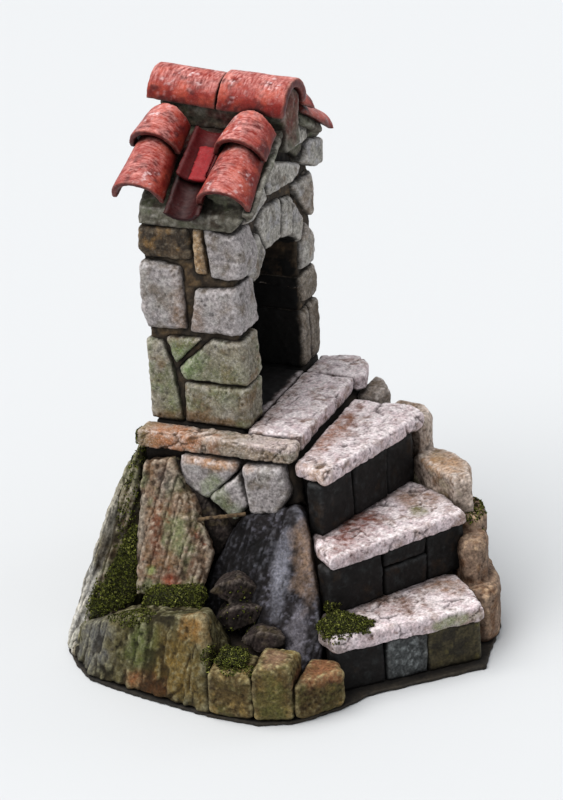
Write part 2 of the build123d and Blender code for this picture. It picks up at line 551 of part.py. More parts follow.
def roof():
    """Cover and pan tiles of both slopes, the ridge, and the hollows that mortar plugs."""
    ridge_room = Plane((-5, RIDGE_Y, RIDGE_TOP - RIDGE_R - 1.2), x_dir=(0, 1, 0), z_dir=(1, 0, 0)) * \
        Cylinder(RIDGE_R + 0.7, 40, align=BASE)
    tiles, rooms, nests, far_covers = {}, [], [], []
    covers = (
        ("near_left", 1.4, 1.6, 2.6, False, COVER_LIFT, 90, 5.0),
        ("near_right", 20.8, 21.1, 21.8, False, COVER_LIFT, 90, 1.6),
        ("far_right", 22.5, 22.4, 22.2, True, COVER_LIFT - FAR_RAISE, 66, 3.0),
        ("far_left", 2.0, 2.1, 2.3, True, COVER_LIFT - FAR_RAISE, 66, 3.0),
    )
    for name, x_low, x_mid, x_high, far, lift, half_angle, setback in covers:
        spans = {
            "lower": (on_slope(x_low, 3.9, lift, far), on_slope(x_mid, 15.6, lift, far)),
            "upper": (on_slope(x_mid, 13.8, lift + 1.5, far), on_slope(x_high, 24.4, lift + 0.4, far)),
        }
        for which, (low, high) in spans.items():
            tile = half_tile(low, high, COVER_R, COVER_HEAD_R, COVER_WALL, half_angle)
            tile = biggest(tile - ridge_room)
            if far:
                far_covers.append(tile)
            else:
                tiles[f"cover_tile_{name}_{which}"] = tile
            rooms.append(filled_tile(low, high, COVER_R + 0.02, COVER_HEAD_R + 0.02, 0.01))
        low = on_slope(x_low, 3.9 + setback, lift, far)
        nests.append(filled_tile(low, spans["lower"][1], COVER_R - COVER_WALL - NEST_GAP,
                                 COVER_HEAD_R - COVER_WALL - NEST_GAP, max(lift, 0.2)))
    tiles["cover_tiles_far"] = group(*far_covers)

    def pan(x_low, x_high, runs, heights, radius, half_angle, far=False):
        low, high = on_slope(x_low, runs[0], heights[0], far), on_slope(x_high, runs[1], heights[1], far)
        return half_tile(low, high, radius, radius + 0.1, PAN_WALL, half_angle, cup=True)

    rest = PAN_R + 0.05
    lower = pan(12.4, 12.2, (1.4, 10.8), (rest, rest), PAN_R, 64)
    upper = pan(12.6, 12.4, (9, 23.5), (rest + 1.5, rest + 0.4), PAN_R, 64)
    upper = fitted(biggest(upper - ridge_room), lower)
    shard = pan(14.2, 14.0, (8.4, 16), (SHARD_R + 2.9, SHARD_R + 2.4), SHARD_R, 40)
    tiles["pan_tile_near_lower"] = fitted(lower, *rooms)
    tiles["pan_tile_near_upper"] = fitted(upper, *rooms)
    tiles["pan_tile_near_broken"] = fitted(shard, lower, upper, *rooms)
    lower = pan(12.4, 12.3, (0.2, 10.8), (rest, rest), PAN_R, 68, True)
    upper = pan(12.3, 12.2, (9.4, 21), (rest + 1.5, rest + 0.3), PAN_R, 62, True)
    upper = fitted(biggest(upper - ridge_room), lower)
    tiles["pan_tiles_far"] = group(fitted(lower, *rooms), fitted(upper, *rooms))
    tiles.update(ridge())
    return tiles, nests


def roof_beds(tiles, nests, laid):
    """Mortar beds of the two slopes, with the plugs under the cover tiles."""
    crest = RIDGE_Y - EAVE_Y - 0.05
    rear, front = -1.6, 25.2
    corners = [tuple(on_slope(x, run, 0))
               for x, run in ((0.8, 3.8), (front, 2.4), (rear, crest), (front, crest))]
    corners += [(0.3, 0.6, 89), (21.6, 0.6, 89)]
    corners += [(x, RIDGE_Y - 0.05, WALL_TOP) for x in (rear, front)]
    near = hull(corners)
    for nest in nests[:2]:
        near += nest
    near = fitted(biggest(near), *tiles, *laid)
    corners = [tuple(on_slope(x, run, 0, True)) for x in (rear, 23.6) for run in (0.8, crest)]
    corners += [(0.3, 2 * RIDGE_Y - 0.6, 89), (21.6, 2 * RIDGE_Y - 0.6, 89)]
    corners += [(x, RIDGE_Y + 0.05, WALL_TOP) for x in (rear, 23.6)]
    far = hull(corners)
    for nest in nests[2:]:
        far += nest
    return {"roof_bed_near": near, "roof_bed_far": fitted(biggest(far), *tiles, *laid, near)}


def verge(laid):
    """The mortar fillet along the front edge of the near slope."""
    corners = []
    for x, height in ((24.6, -2.4), (27.4, 0.2), (27.2, 1.5), (24.6, 1.3)):
        for run in (3.4, 24.6):
            corners.append(on_slope(x, run, height))
    return fitted(hull([tuple(c) for c in corners]), *laid)


# ---------------------------------------------------------------- moss and root
def moss(laid):
    """Flock patches glued into hollows: thin pads that take the shape of what is under them."""
    pads = (
        [(3.6, -18.4, 28.4), (-0.6, -16.8, 27), (3.6, -25.8, 12), (-4, -29.6, 9.4),
         (-5.4, -28.4, 12), (1, -14, 25), (0, -20, 12), (4.6, -25, 13)],
        [(8.5, -31, 14), (22.8, -31, 15.8), (22.4, -25, 17), (8.5, -25, 14.4), (9.5, -29.4, 17.4),
         (21.8, -29.4, 19.6), (21.4, -25, 20.2), (9.6, -25.4, 18)],
        [(46.8, -25.6, 14), (51, -29.8, 14.2), (58.8, -25, 14.4), (59.6, -20, 14.4),
         (50, -21, 14.4), (48.6, -26.6, 16.8), (53, -27.6, 16.6), (57.6, -23, 16.2),
         (51.4, -22.6, 17.6)],
        [(31, -43, 11.8), (38, -42.6, 11.8), (37.6, -36.4, 11.8), (30.8, -36.6, 11.8),
         (31.8, -41.6, 13.2), (36.4, -41, 13), (36, -37.4, 14), (32, -37.6, 14.2)],
        [(69, 9.8, 23.6), (71.6, 10.6, 21.8), (71, 14, 21.6), (68.2, 16, 23.8), (69.2, 13, 25.8),
         (69.8, 11.6, 25.6)],
    )
    patches = []
    for corners in pads:
        patches.append(fitted(hull(corners), *laid, *patches))
    return group(*patches)


def root():
    """A thin dead root lying over the cleft."""
    path = FilletPolyline((17.6, -17.6, 31), (21, -16.8, 31.6), (27.6, -14.6, 32.4), radius=4)
    return sweep(Plane(path @ 0, z_dir=path % 0) * Circle(0.45), path=path)


# ---------------------------------------------------------------- assembly
def solids_of(nodes):
    return [solid for shape in nodes.values() for solid in shape.solids()]


def building():
    """The landing, the wall and the roof about the wall's own corner."""
    slabs = {**landing(), "corbel_stones": corbels()}
    arch = {**arch_stones(), "gable_stones": gable_stones()}
    wall = {**near_pillar(solids_of(arch)), "far_pillar_stones": far_pillar(solids_of(arch)),
            **arch, "back_wall_stones": back_stones()}
    mortar = wall_mortar(solids_of(wall) + solids_of(slabs))
    tiles, nests = roof()
    beds = roof_beds(solids_of(tiles), nests, solids_of(wall) + solids_of(mortar))
    above = {**slabs, **wall, **mortar, **tiles, **beds}
    above["ridge_mortar"] = ridge_mortar(solids_of({**tiles, **beds, **wall, **mortar}))
    above["verge_fillet"] = verge(solids_of({**tiles, **wall, **beds}) + [above["ridge_mortar"]])
    return above


def build():
    nodes = {"base_plate": base_plate()}
    above = {name: Pos(*SEAT) * shape for name, shape in building().items()}
    for name, stones in stairs().items():
        nodes[name] = group(*stones) if len(stones) > 1 else stones[0]
    carried = {name: above[name] for name in above
               if name.startswith(("landing", "niche_floor", "corbel", "pillar_tall"))}

    def laid():
        return solids_of(nodes) + solids_of(carried)

    nodes["stair_core"] = stair_core(laid())
    nodes.update(side_stones(laid()))
    nodes["foot_stones"] = foot_stones(laid())
    nodes.update(front_rocks(laid()))
    nodes["cleft_slates"] = cleft_slates(laid())
    nodes.update(rear_rocks(laid()))
    nodes["rock_core"] = rock_core(laid())
    nodes["moss_patches"] = moss(laid())
    nodes["root"] = root()
    return {**nodes, **above}


def main():
    nodes = build()
    boxes = [shape.bounding_box() for shape in nodes.values()]
    centre_x = (min(b.min.X for b in boxes) + max(b.max.X for b in boxes)) / 2
    centre_y = (min(b.min.Y for b in boxes) + max(b.max.Y for b in boxes)) / 2
    os.makedirs("parts", exist_ok=True)
    for name, shape in nodes.items():
        export_step(Pos(-centre_x, -centre_y, 0) * shape, f"parts/{name}.step")
    print(len(nodes), "nodes; origin in the layout is", round(centre_x, 3), round(centre_y, 3))


main()
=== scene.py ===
# Looks of the tabletop terrain ruin. Every stone, slab, tile and rock is remade from its packed
# CAD solid: remeshed finely, worn and broken up by layered noise, and painted the way the real
# piece is: base colour, mottling, dark wash in the recesses and a pale dry-brush on the edges.
# On top of that comes painted shade where neighbouring parts close in, and on the roof tiles a
# painted highlight on the faces turned up and painted shade on those turned down.
import json
import math

import bmesh
import bpy
import numpy as np
from mathutils import Matrix, Vector
from mathutils.bvhtree import BVHTree


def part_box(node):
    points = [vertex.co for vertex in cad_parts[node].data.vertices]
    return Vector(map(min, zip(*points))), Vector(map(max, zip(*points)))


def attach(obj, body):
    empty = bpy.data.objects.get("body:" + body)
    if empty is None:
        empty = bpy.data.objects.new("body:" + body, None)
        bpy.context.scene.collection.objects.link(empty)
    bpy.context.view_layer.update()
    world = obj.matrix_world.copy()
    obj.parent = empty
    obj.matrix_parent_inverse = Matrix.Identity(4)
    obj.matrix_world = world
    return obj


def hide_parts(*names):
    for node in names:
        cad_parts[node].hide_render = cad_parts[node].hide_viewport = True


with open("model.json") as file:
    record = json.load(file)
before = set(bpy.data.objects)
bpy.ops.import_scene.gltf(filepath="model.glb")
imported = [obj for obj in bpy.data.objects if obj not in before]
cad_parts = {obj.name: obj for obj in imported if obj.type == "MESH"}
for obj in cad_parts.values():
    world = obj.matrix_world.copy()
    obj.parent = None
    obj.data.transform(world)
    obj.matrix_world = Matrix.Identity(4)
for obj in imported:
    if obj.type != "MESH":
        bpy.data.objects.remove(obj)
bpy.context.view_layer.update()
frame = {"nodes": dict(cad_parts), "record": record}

MM = 0.001
NODES = frame["nodes"]
SLOTS = {part["node"]: part["material_slot"] for part in frame["record"]["subparts"]}
# The low corner of the base plate's box in the mound's own layout, and where that layout's origin
# lies in the frame, in millimetres.
PLATE_CORNER = np.array([-15.0, -44.4, 0.0])
LAYOUT = np.array(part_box("base_plate")[0]) / MM - PLATE_CORNER


# ---------------------------------------------------------------- noise
def lattice(i, j, k, seed):
    """Hashed values in 0..1 on a grid of integers."""
    n = i.astype(np.uint32) * np.uint32(73856093)
    n ^= j.astype(np.uint32) * np.uint32(19349663)
    n ^= k.astype(np.uint32) * np.uint32(83492791)
    n ^= np.uint32((seed * 2654435761) & 0xFFFFFFFF)
    n ^= n >> np.uint32(15)
    n *= np.uint32(2246822519)
    n ^= n >> np.uint32(13)
    n *= np.uint32(3266489917)
    n ^= n >> np.uint32(16)
    return n.astype(np.float32) / np.float32(4294967295)


def noise(points, scale, seed, stretch=(1, 1, 1)):
    """Smooth noise in -1..1; scale is the size of a feature in millimetres."""
    p = points / (np.array(stretch) * scale) + 1000.0
    cell = np.floor(p)
    f = (p - cell).astype(np.float32)
    f = f * f * f * (f * (f * 6 - 15) + 10)
    c = cell.astype(np.int64)
    total = np.zeros(len(p), np.float32)
    for a in (0, 1):
        wa = f[:, 0] if a else 1 - f[:, 0]
        for b in (0, 1):
            wb = f[:, 1] if b else 1 - f[:, 1]
            for d in (0, 1):
                wd = f[:, 2] if d else 1 - f[:, 2]
                total += wa * wb * wd * lattice(c[:, 0] + a, c[:, 1] + b, c[:, 2] + d, seed)
    return total * 2 - 1


def layered(points, scale, seed, octaves=3, stretch=(1, 1, 1)):
    """Several octaves of noise, about -1..1."""
    total, weight, size = 0, 1.0, scale
    for n in range(octaves):
        total = total + weight * noise(points, size, seed + 17 * n, stretch)
        weight *= 0.5
        size *= 0.47
    return total / 1.6


def cells(points, scale, seed):
    """Distances to the nearest and second nearest of scattered points, in cell sizes."""
    p = points / scale + 1000.0
    base = np.floor(p).astype(np.int64)
    f1 = np.full(len(p), 9.0, np.float32)
    f2 = np.full(len(p), 9.0, np.float32)
    for a in (-1, 0, 1):
        for b in (-1, 0, 1):
            for d in (-1, 0, 1):
                i, j, k = base[:, 0] + a, base[:, 1] + b, base[:, 2] + d
                dx = i + lattice(i, j, k, seed) - p[:, 0]
                dy = j + lattice(i, j, k, seed + 1) - p[:, 1]
                dz = k + lattice(i, j, k, seed + 2) - p[:, 2]
                dist = np.sqrt(dx * dx + dy * dy + dz * dz).astype(np.float32)
                f2 = np.minimum(f2, np.maximum(f1, dist))
                f1 = np.minimum(f1, dist)
    return f1, f2


def ramp(x, underside_shade, high):
    return np.clip((x - underside_shade) / (high - underside_shade), 0, 1)


# ---------------------------------------------------------------- meshes
def islands(node):
    """The closed solids of a CAD node as lists of points and faces, lowest and nearest first."""
    whole = bmesh.new()
    whole.from_mesh(NODES[node].data)
    bmesh.ops.remove_doubles(whole, verts=whole.verts, dist=2e-6)
    whole.verts.ensure_lookup_table()
    seen, out = set(), []
    for start in whole.verts:
        if start.index in seen:
            continue
        stack, members = [start], []
        seen.add(start.index)
        while stack:
            v = stack.pop()
            members.append(v)
            for e in v.link_edges:
                w = e.other_vert(v)
                if w.index not in seen:
                    seen.add(w.index)
                    stack.append(w)
        place = {v.index: n for n, v in enumerate(members)}
        faces = {f for v in members for f in v.link_faces}
        faces = [[place[v.index] for v in f.verts] for f in sorted(faces, key=lambda f: f.index)]
        out.append(([tuple(v.co) for v in members], faces))
    whole.free()
    out.sort(key=lambda part: tuple(np.round(np.mean(part[0], axis=0)[[2, 1, 0]], 4)))
    return out


def remeshed(verts, faces, voxel):
    """A finely remeshed copy of a solid, as a new mesh."""
    mesh = bpy.data.meshes.new("raw")
    mesh.from_pydata(verts, [], faces)
    raw = bpy.data.objects.new("raw", mesh)
    bpy.context.scene.collection.objects.link(raw)
    mod = raw.modifiers.new("remesh", "REMESH")
    mod.mode = "VOXEL"
    mod.voxel_size = voxel * MM
    fine = bpy.data.meshes.new_from_object(raw.evaluated_get(bpy.context.evaluated_depsgraph_get()))
    bpy.data.objects.remove(raw)
    bpy.data.meshes.remove(mesh)
    return fine


class Surface:
    """A fine mesh as arrays, in millimetres."""

    def __init__(self, mesh):
        self.mesh = mesh
        n = len(mesh.vertices)
        co = np.empty(n * 3, np.float64)
        mesh.vertices.foreach_get("co", co)
        self.co = co.reshape(-1, 3) / MM
        edges = np.empty(len(mesh.edges) * 2, np.int64)
        mesh.edges.foreach_get("vertices", edges)
        self.edges = edges.reshape(-1, 2)
        self.count = np.maximum(np.bincount(edges, minlength=n), 1)

    def mean(self, values):
        """The mean of each vertex's neighbours."""
        flat = values.reshape(len(values), -1)
        a, b = self.edges[:, 0], self.edges[:, 1]
        n = len(flat)
        cols = [np.bincount(a, flat[b, k], n) + np.bincount(b, flat[a, k], n)
                for k in range(flat.shape[1])]
        return (np.stack(cols, 1) / self.count[:, None]).reshape(values.shape)

    def smooth(self, times, amount=0.6):
        for _ in range(times):
            weight = amount[:, None] if isinstance(amount, np.ndarray) else amount
            self.co = self.co + (self.mean(self.co) - self.co) * weight

    def push(self):
        self.mesh.vertices.foreach_set("co", (self.co * MM).ravel())
        self.mesh.update()

    def normals(self):
        self.push()
        n = np.empty(len(self.co) * 3, np.float32)
        self.mesh.vertices.foreach_get("normal", n)
        return n.reshape(-1, 3).astype(np.float64)

    def hollow(self, rounds):
        """Positive in hollows and negative on arrises, in millimetres."""
        near = self.co
        for _ in range(rounds):
            near = near + (self.mean(near) - near) * 0.7
        return np.einsum("ij,ij->i", near - self.co, self.normals())


def occluders():
    """One tree of every CAD solid that casts shade."""
    verts, faces = [], []
    for name, node in NODES.items():
        if name in ("moss_patches", "root"):
            continue
        first = len(verts)
        verts += [v.co.copy() for v in node.data.vertices]
        faces += [[first + i for i in p.vertices] for p in node.data.polygons]
    return BVHTree.FromPolygons(verts, faces)


TREE = occluders()
# Each ray that looks for shade: its turn about the normal, and how far it leans from it.
RAYS = [(0.0, 0.25), (0.0, 0.72), (2.1, 0.72), (4.2, 0.72)]
SHADE_REACH = 4.5           # a neighbour further off casts no shade
SHADE_START = 0.35          # a ray starts this far off the surface
NEAR_SHADE = 0.7            # how much less a hit at full reach counts


def shade(surface, reach=SHADE_REACH):
    """How closed in each vertex is, 0 in the open and 1 in a tight joint."""
    n = surface.normals()
    helper = np.where(np.abs(n[:, 2:3]) < 0.9, [[0, 0, 1.0]], [[1.0, 0, 0]])
    u = np.cross(n, helper)
    u /= np.linalg.norm(u, axis=1)[:, None] + 1e-9
    v = np.cross(n, u)
    start = (surface.co + n * SHADE_START) * MM
    closed = np.zeros(len(n))
    cast = TREE.ray_cast
    for turn, lean in RAYS:
        way = n * (1 - lean) + (u * math.cos(turn) + v * math.sin(turn)) * lean
        way /= np.linalg.norm(way, axis=1)[:, None]
        for i in range(len(n)):
            dist = cast(start[i], way[i], reach * MM)[3]
            if dist is not None:
                closed[i] += 1 - dist / (reach * MM) * NEAR_SHADE
    closed /= len(RAYS)
    return surface.mean(surface.mean(closed))


# ---------------------------------------------------------------- paint
def lin(r, g, b):
    """A paint's colour, from 0..255 values as seen to linear light."""
    c = np.array([r, g, b]) / 255
    return np.where(c <= 0.04045, c / 12.92, ((c + 0.055) / 1.055) ** 2.4)


def mixed(under, over, amount):
    return under + (np.asarray(over) - under) * np.asarray(amount)[:, None]


def painted(surface, closed, look, seed, stains_and_shadows):
    """Paints a surface: base, mottling, stains and a painted shadow, a wash in the hollows with painted
    shade where other parts close in, and dry-brush on the arrises.

    A size given to layered is a patch's, in millimetres. The pair given to ramp is where a layer
    of paint starts and where it is full, and the number after it is how well it covers."""
    p = surface.co
    n = surface.normals()
    fine = surface.hollow(2)
    broad = surface.hollow(9)
    colour = np.tile(lin(*look["base"]), (len(p), 1))
    colour *= (1 + 0.3 * layered(p, 4.5, seed + 3) + 0.5 * layered(p, 0.75, seed + 5, 2))[:, None]
    plain = np.ones(len(p))
    for k, (rgb, size, level, amount) in enumerate(look.get("mottle", ())):
        field = layered(p, size, seed + 40 + 7 * k, 4)
        colour = mixed(colour, lin(*rgb), ramp(field, level, level + 0.35) * amount)
    rough = layered(p, 3.0, seed + 90, 4)
    patchiness = 0.6 + 0.4 * ramp(layered(p, 1.1, seed + 97, 3), -0.5, 0.4)
    for place, reach, rgb, amount in stains_and_shadows:
        gap = np.linalg.norm((p - LAYOUT - np.array(place)) / np.array(reach), axis=1)
        spread = ramp(-gap - 0.6 * rough, -1.15, -0.5) * amount * patchiness
        colour = mixed(colour, lin(*rgb) * (1 + 0.4 * rough)[:, None], spread)
        plain *= 1 - spread
    wash_and_shade = np.clip(ramp(fine, 0.01, 0.075) * 0.8 + ramp(broad, 0.03, 0.3) * 0.8, 0, 1)
    # painted shade: darker where neighbouring parts close in round the vertex, on top of the wash in
    # the hollows
    wash_and_shade = np.clip(wash_and_shade + ramp(closed, 0.16, 0.55) * look.get("joint", 1.3), 0, 1)
    wash_and_shade *= 0.78 + 0.3 * layered(p, 1.2, seed + 8, 2)
    colour = mixed(colour, lin(*look["wash_and_shade"]), np.clip(wash_and_shade, 0, 1) * look.get("wash_amount", 0.92))
    up = 0.5 + 0.5 * n[:, 2]
    brush = ramp(-fine, 0.006, 0.05) * 0.6 + ramp(-broad, 0.02, 0.26) * 0.75
    dabs = ramp(layered(p, 0.8, seed + 60, 3), -0.1, 0.4)
    over = look.get("top", 0.0) * plain * ramp(n[:, 2], 0.45, 0.9)
    over = over * ramp(layered(p, 1.1, seed + 66, 4), -0.14, 0.22)
    brush = np.clip(brush * (0.35 + 0.65 * dabs) + over, 0, 1)
    brush *= (1 - np.clip(closed * 1.6, 0, 1)) * up
    colour = mixed(colour, lin(*look["dry"]), np.clip(brush, 0, 1) * look.get("dry_amount", 0.75))
    return np.clip(colour, 0.001, 1)


def store(mesh, name, values):
    layer = mesh.color_attributes.new(name, "FLOAT_COLOR", "POINT")
    rgba = np.ones((len(values), 4), np.float32)
    rgba[:, :3] = values
    layer.data.foreach_set("color", rgba.ravel())


# ---------------------------------------------------------------- materials
def material(name, speck, speck_amount, grit, bump, roughness, shine=0.3):
    """A painted surface: the paint layer with grit in its colour, pale flecks and micro relief."""
    mat = bpy.data.materials.new(name)
    mat.use_nodes = True
    tree = mat.node_tree
    nodes, links = tree.nodes, tree.links
    shader = nodes["Principled BSDF"]
    coords = nodes.new("ShaderNodeTexCoord")
    paint = nodes.new("ShaderNodeAttribute")
    paint.attribute_name = "paint"

    def texture(scale, detail):
        tex = nodes.new("ShaderNodeTexNoise")
        tex.inputs["Scale"].default_value = scale
        tex.inputs["Detail"].default_value = detail
        links.new(coords.outputs["Object"], tex.inputs["Vector"])
        return tex.outputs["Fac"]

    def ranged(source, underside_shade, high, to_low, to_high):
        node = nodes.new("ShaderNodeMapRange")
        for socket, value in zip(node.inputs[1:5], (underside_shade, high, to_low, to_high)):
            socket.default_value = value
        links.new(source, node.inputs[0])
        return node.outputs[0]

    grains = texture(1900, 5)
    dust = texture(4200, 3)
    broad = texture(420, 4)
    grey = ranged(grains, 0.28, 0.72, 1 - grit, 1 + grit)
    tinted = nodes.new("ShaderNodeVectorMath")
    tinted.operation = "SCALE"
    links.new(paint.outputs["Color"], tinted.inputs[0])
    links.new(grey, tinted.inputs["Scale"])
    flecks = nodes.new("ShaderNodeMath")
    flecks.operation = "MULTIPLY"            # fewer flecks where the paint is dark
    links.new(ranged(dust, 0.56, 0.68, 0.0, speck_amount), flecks.inputs[0])
    light = nodes.new("ShaderNodeRGBToBW")
    links.new(paint.outputs["Color"], light.inputs[0])
    links.new(ranged(light.outputs[0], 0.01, 0.22, 0.03, 1.0), flecks.inputs[1])
    speckled = nodes.new("ShaderNodeMix")
    speckled.data_type = "RGBA"
    links.new(flecks.outputs[0], speckled.inputs[0])
    links.new(tinted.outputs[0], speckled.inputs[6])
    speckled.inputs[7].default_value = (*speck, 1)
    links.new(speckled.outputs[2], shader.inputs["Base Color"])
    uneven = ranged(broad, 0.3, 0.7, roughness - 0.08, roughness + 0.08)
    links.new(uneven, shader.inputs["Roughness"])
    relief = nodes.new("ShaderNodeBump")
    relief.inputs["Strength"].default_value = bump
    relief.inputs["Distance"].default_value = 0.00012
    links.new(grains, relief.inputs["Height"])
    links.new(relief.outputs["Normal"], shader.inputs["Normal"])
    shader.inputs["Specular IOR Level"].default_value = shine
    return mat


PALE = tuple(lin(214, 208, 204))
MATERIALS = {
    "wall_stone": material("painted_wall_stone", PALE, 0.42, 0.46, 0.55, 0.82),
    "step_slab": material("painted_step_slab", tuple(lin(236, 228, 226)), 0.42, 0.42, 0.6, 0.84),
    "riser_stone": material("painted_riser_stone", tuple(lin(104, 106, 106)), 0.2, 0.55, 0.6, 0.7, 0.2),
    "mound_rock": material("painted_mound_rock", tuple(lin(176, 168, 150)), 0.3, 0.5, 0.7, 0.8, 0.14),
    "rubble_fill": material("painted_rubble_fill", tuple(lin(120, 108, 90)), 0.15, 0.4, 0.7, 0.86),
    "mortar": material("painted_mortar", PALE, 0.22, 0.36, 0.7, 0.86),
    "roof_tile": material("painted_roof_tile", tuple(lin(236, 190, 184)), 0.22, 0.2, 0.3, 0.46, 0.14),
    "moss": material("green_flock", tuple(lin(150, 156, 60)), 0.15, 0.4, 0.3, 0.95),
    "twig": material("dead_root", tuple(lin(150, 130, 110)), 0.3, 0.4, 0.6, 0.85),
    "base_rim": material("painted_base_rim", tuple(lin(120, 110, 96)), 0.2, 0.4, 0.6, 0.8),
}


def show(mesh, name, slot, *nodes):
    """Turns a finished mesh into a piece that rides on the body and stands for CAD nodes."""
    mesh.name = name
    mesh.polygons.foreach_set("use_smooth", np.ones(len(mesh.polygons), bool))
    mesh.materials.clear()
    mesh.materials.append(MATERIALS[slot])
    piece = bpy.data.objects.new(name, mesh)
    bpy.context.scene.collection.objects.link(piece)
    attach(piece, "root")
    if nodes:
        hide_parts(*nodes)
    return piece


def joined(parts, name):
    """Several meshes with a paint layer as one."""
    if len(parts) == 1:
        return parts[0]
    verts, faces, paint, first = [], [], [], 0
    for mesh in parts:
        n = len(mesh.vertices)
        co = np.empty(n * 3, np.float32)
        mesh.vertices.foreach_get("co", co)
        rgba = np.empty(n * 4, np.float32)
        mesh.color_attributes["paint"].data.foreach_get("color", rgba)
        loops = np.empty(len(mesh.loops), np.int64)
        mesh.loops.foreach_get("vertex_index", loops)
        starts = np.empty(len(mesh.polygons), np.int64)
        mesh.polygons.foreach_get("loop_start", starts)
        sizes = np.empty(len(mesh.polygons), np.int64)
        mesh.polygons.foreach_get("loop_total", sizes)
        faces += [tuple(loops[s:s + t] + first) for s, t in zip(starts, sizes)]
        verts.append(co.reshape(-1, 3))
        paint.append(rgba.reshape(-1, 4)[:, :3])
        first += n
        bpy.data.meshes.remove(mesh)
    whole = bpy.data.meshes.new(name)
    whole.from_pydata(np.concatenate(verts), [], faces)
    store(whole, "paint", np.concatenate(paint))
    return whole


# ---------------------------------------------------------------- shapes
# Each kind: remesh size, rounds of wear on the arrises, layers of relief (size, height), pits.
KINDS = {
    "block": dict(voxel=0.32, wear=2, relief=((5.0, 0.24), (1.7, 0.17), (0.75, 0.13)), chips=0.55,
                  pits=(1.3, 0.22), grow=0.2),
    "slab": dict(voxel=0.33, wear=3, relief=((6.0, 0.26), (2.0, 0.17), (0.8, 0.12)), chips=0.8,
                 pits=(1.15, 0.26), cracks=0.55, grow=0.08),
    "riser": dict(voxel=0.36, wear=3, relief=((5.0, 0.16), (1.8, 0.16), (0.8, 0.1)), chips=0.3,
                  grow=0.1),
    "rock": dict(voxel=0.4, wear=3, relief=((9.0, 0.4), (3.2, 0.32), (1.2, 0.22), (0.75, 0.12)),
                 chips=0.9, strata=((2.9, 0.42),), pits=(2.0, 0.42), grow=0.25),
    "cliff": dict(voxel=0.42, wear=5, relief=((9.0, 0.4), (3.0, 0.3), (1.2, 0.2), (0.7, 0.1)),
                  chips=0.7, strata=((3.6, 0.9), (1.3, 0.4)), pits=(2.1, 0.3), grow=0.25),
    "boulder": dict(voxel=0.42, wear=6, relief=((13.0, 0.8), (4.4, 0.5), (1.6, 0.26), (0.7, 0.13)),
                    chips=0.7, strata=((3.4, 0.5),), pits=(2.1, 0.38), grow=0.2),
    "buttress": dict(voxel=0.4, wear=8, relief=((12.0, 0.7), (4.2, 0.4), (1.3, 0.2), (0.6, 0.1)),
                     chips=0.5, strata=((3.8, 0.3),), grow=0.2),
    "rear": dict(voxel=0.5, wear=6, relief=((9.0, 0.5), (3.4, 0.4), (1.3, 0.2), (0.8, 0.1)),
                 chips=0.7, facets=(8.5, 0.9), grow=0.2),
    "slate": dict(voxel=0.3, wear=1, relief=((4.0, 0.2), (1.4, 0.15), (0.7, 0.1)), chips=0.5,
                  strata=((0.9, 0.25),), grow=0.1),
    "mortar": dict(voxel=0.45, wear=3, relief=((2.6, 0.24), (1.1, 0.2), (0.7, 0.1)), chips=0),
    "core": dict(voxel=0.7, wear=3, relief=((5.0, 0.5), (2.2, 0.4)), chips=0),
    "tile": dict(voxel=0.27, wear=3, relief=((5.0, 0.14), (1.6, 0.08), (0.6, 0.03)), chips=0.25),
    "plate": dict(voxel=0.42, wear=2, relief=((5.0, 0.2), (1.6, 0.12), (0.8, 0.08)), chips=0.2),
}
GRAIN = np.array([0.2, 0.44, 0.88])         # the way the cliffs' cracks run, down and outwards


def strained(points, size, length, seed):
    """Noise drawn out along the grain of the cliffs."""
    way = GRAIN / np.linalg.norm(GRAIN)
    along = points @ way
    flat = points - along[:, None] * way * (1 - 1 / length)
    return layered(flat, size, seed, 3)


def shaped(verts, faces, kind, seed):
    """A worn and broken surface grown from a CAD solid, with every height in millimetres."""
    how = KINDS[kind]
    surface = Surface(remeshed(verts, faces, how["voxel"]))
    p = surface.co
    uneven = np.clip(0.55 + 0.5 * layered(p, 3.2, seed + 1, 2), 0.08, 0.95)
    surface.smooth(how["wear"], uneven)
    sharp = np.clip(-surface.hollow(6) / 0.35, 0, 1)
    n = surface.normals()
    lift = np.full(len(p), how.get("grow", 0.0))
    for k, (size, height) in enumerate(how["relief"]):
        lift += layered(p, size, seed + 11 * k, 2) * height
    for k, (size, height) in enumerate(how.get("strata", ())):
        field = strained(p, size, 16.0, seed + 301 + 11 * k)
        lift += (field * 0.7 - ramp(-np.abs(field), -0.16, 0.0)) * height
    if "facets" in how:
        size, height = how["facets"]
        f1, _ = cells(p + 1.2 * layered(p, 3.0, seed + 71)[:, None], size, seed + 73)
        lift -= ramp(f1, 0.25, 0.95) * height
    if "cracks" in how:
        wander = p + 1.3 * layered(p, 3.4, seed + 81, 3)[:, None]
        f1, f2 = cells(wander, 6.5, seed + 83)
        some = ramp(noise(p, 5.0, seed + 87), -0.15, 0.2)
        lift -= ramp(-(f2 - f1), -0.05, -0.012) * how["cracks"] * some
    lift -= ramp(layered(p, 1.9, seed + 5, 2), 0.1, 0.55) * sharp * how["chips"]
    if "pits" in how:
        f1, _ = cells(p, how["pits"][0], seed + 9)
        some = ramp(noise(p, 4.0, seed + 13), -0.3, 0.5)
        lift -= ramp(-f1, -0.42, -0.12) * how["pits"][1] * some
    surface.co = surface.co + n * lift[:, None]
    surface.smooth(1, 0.35)
    return surface


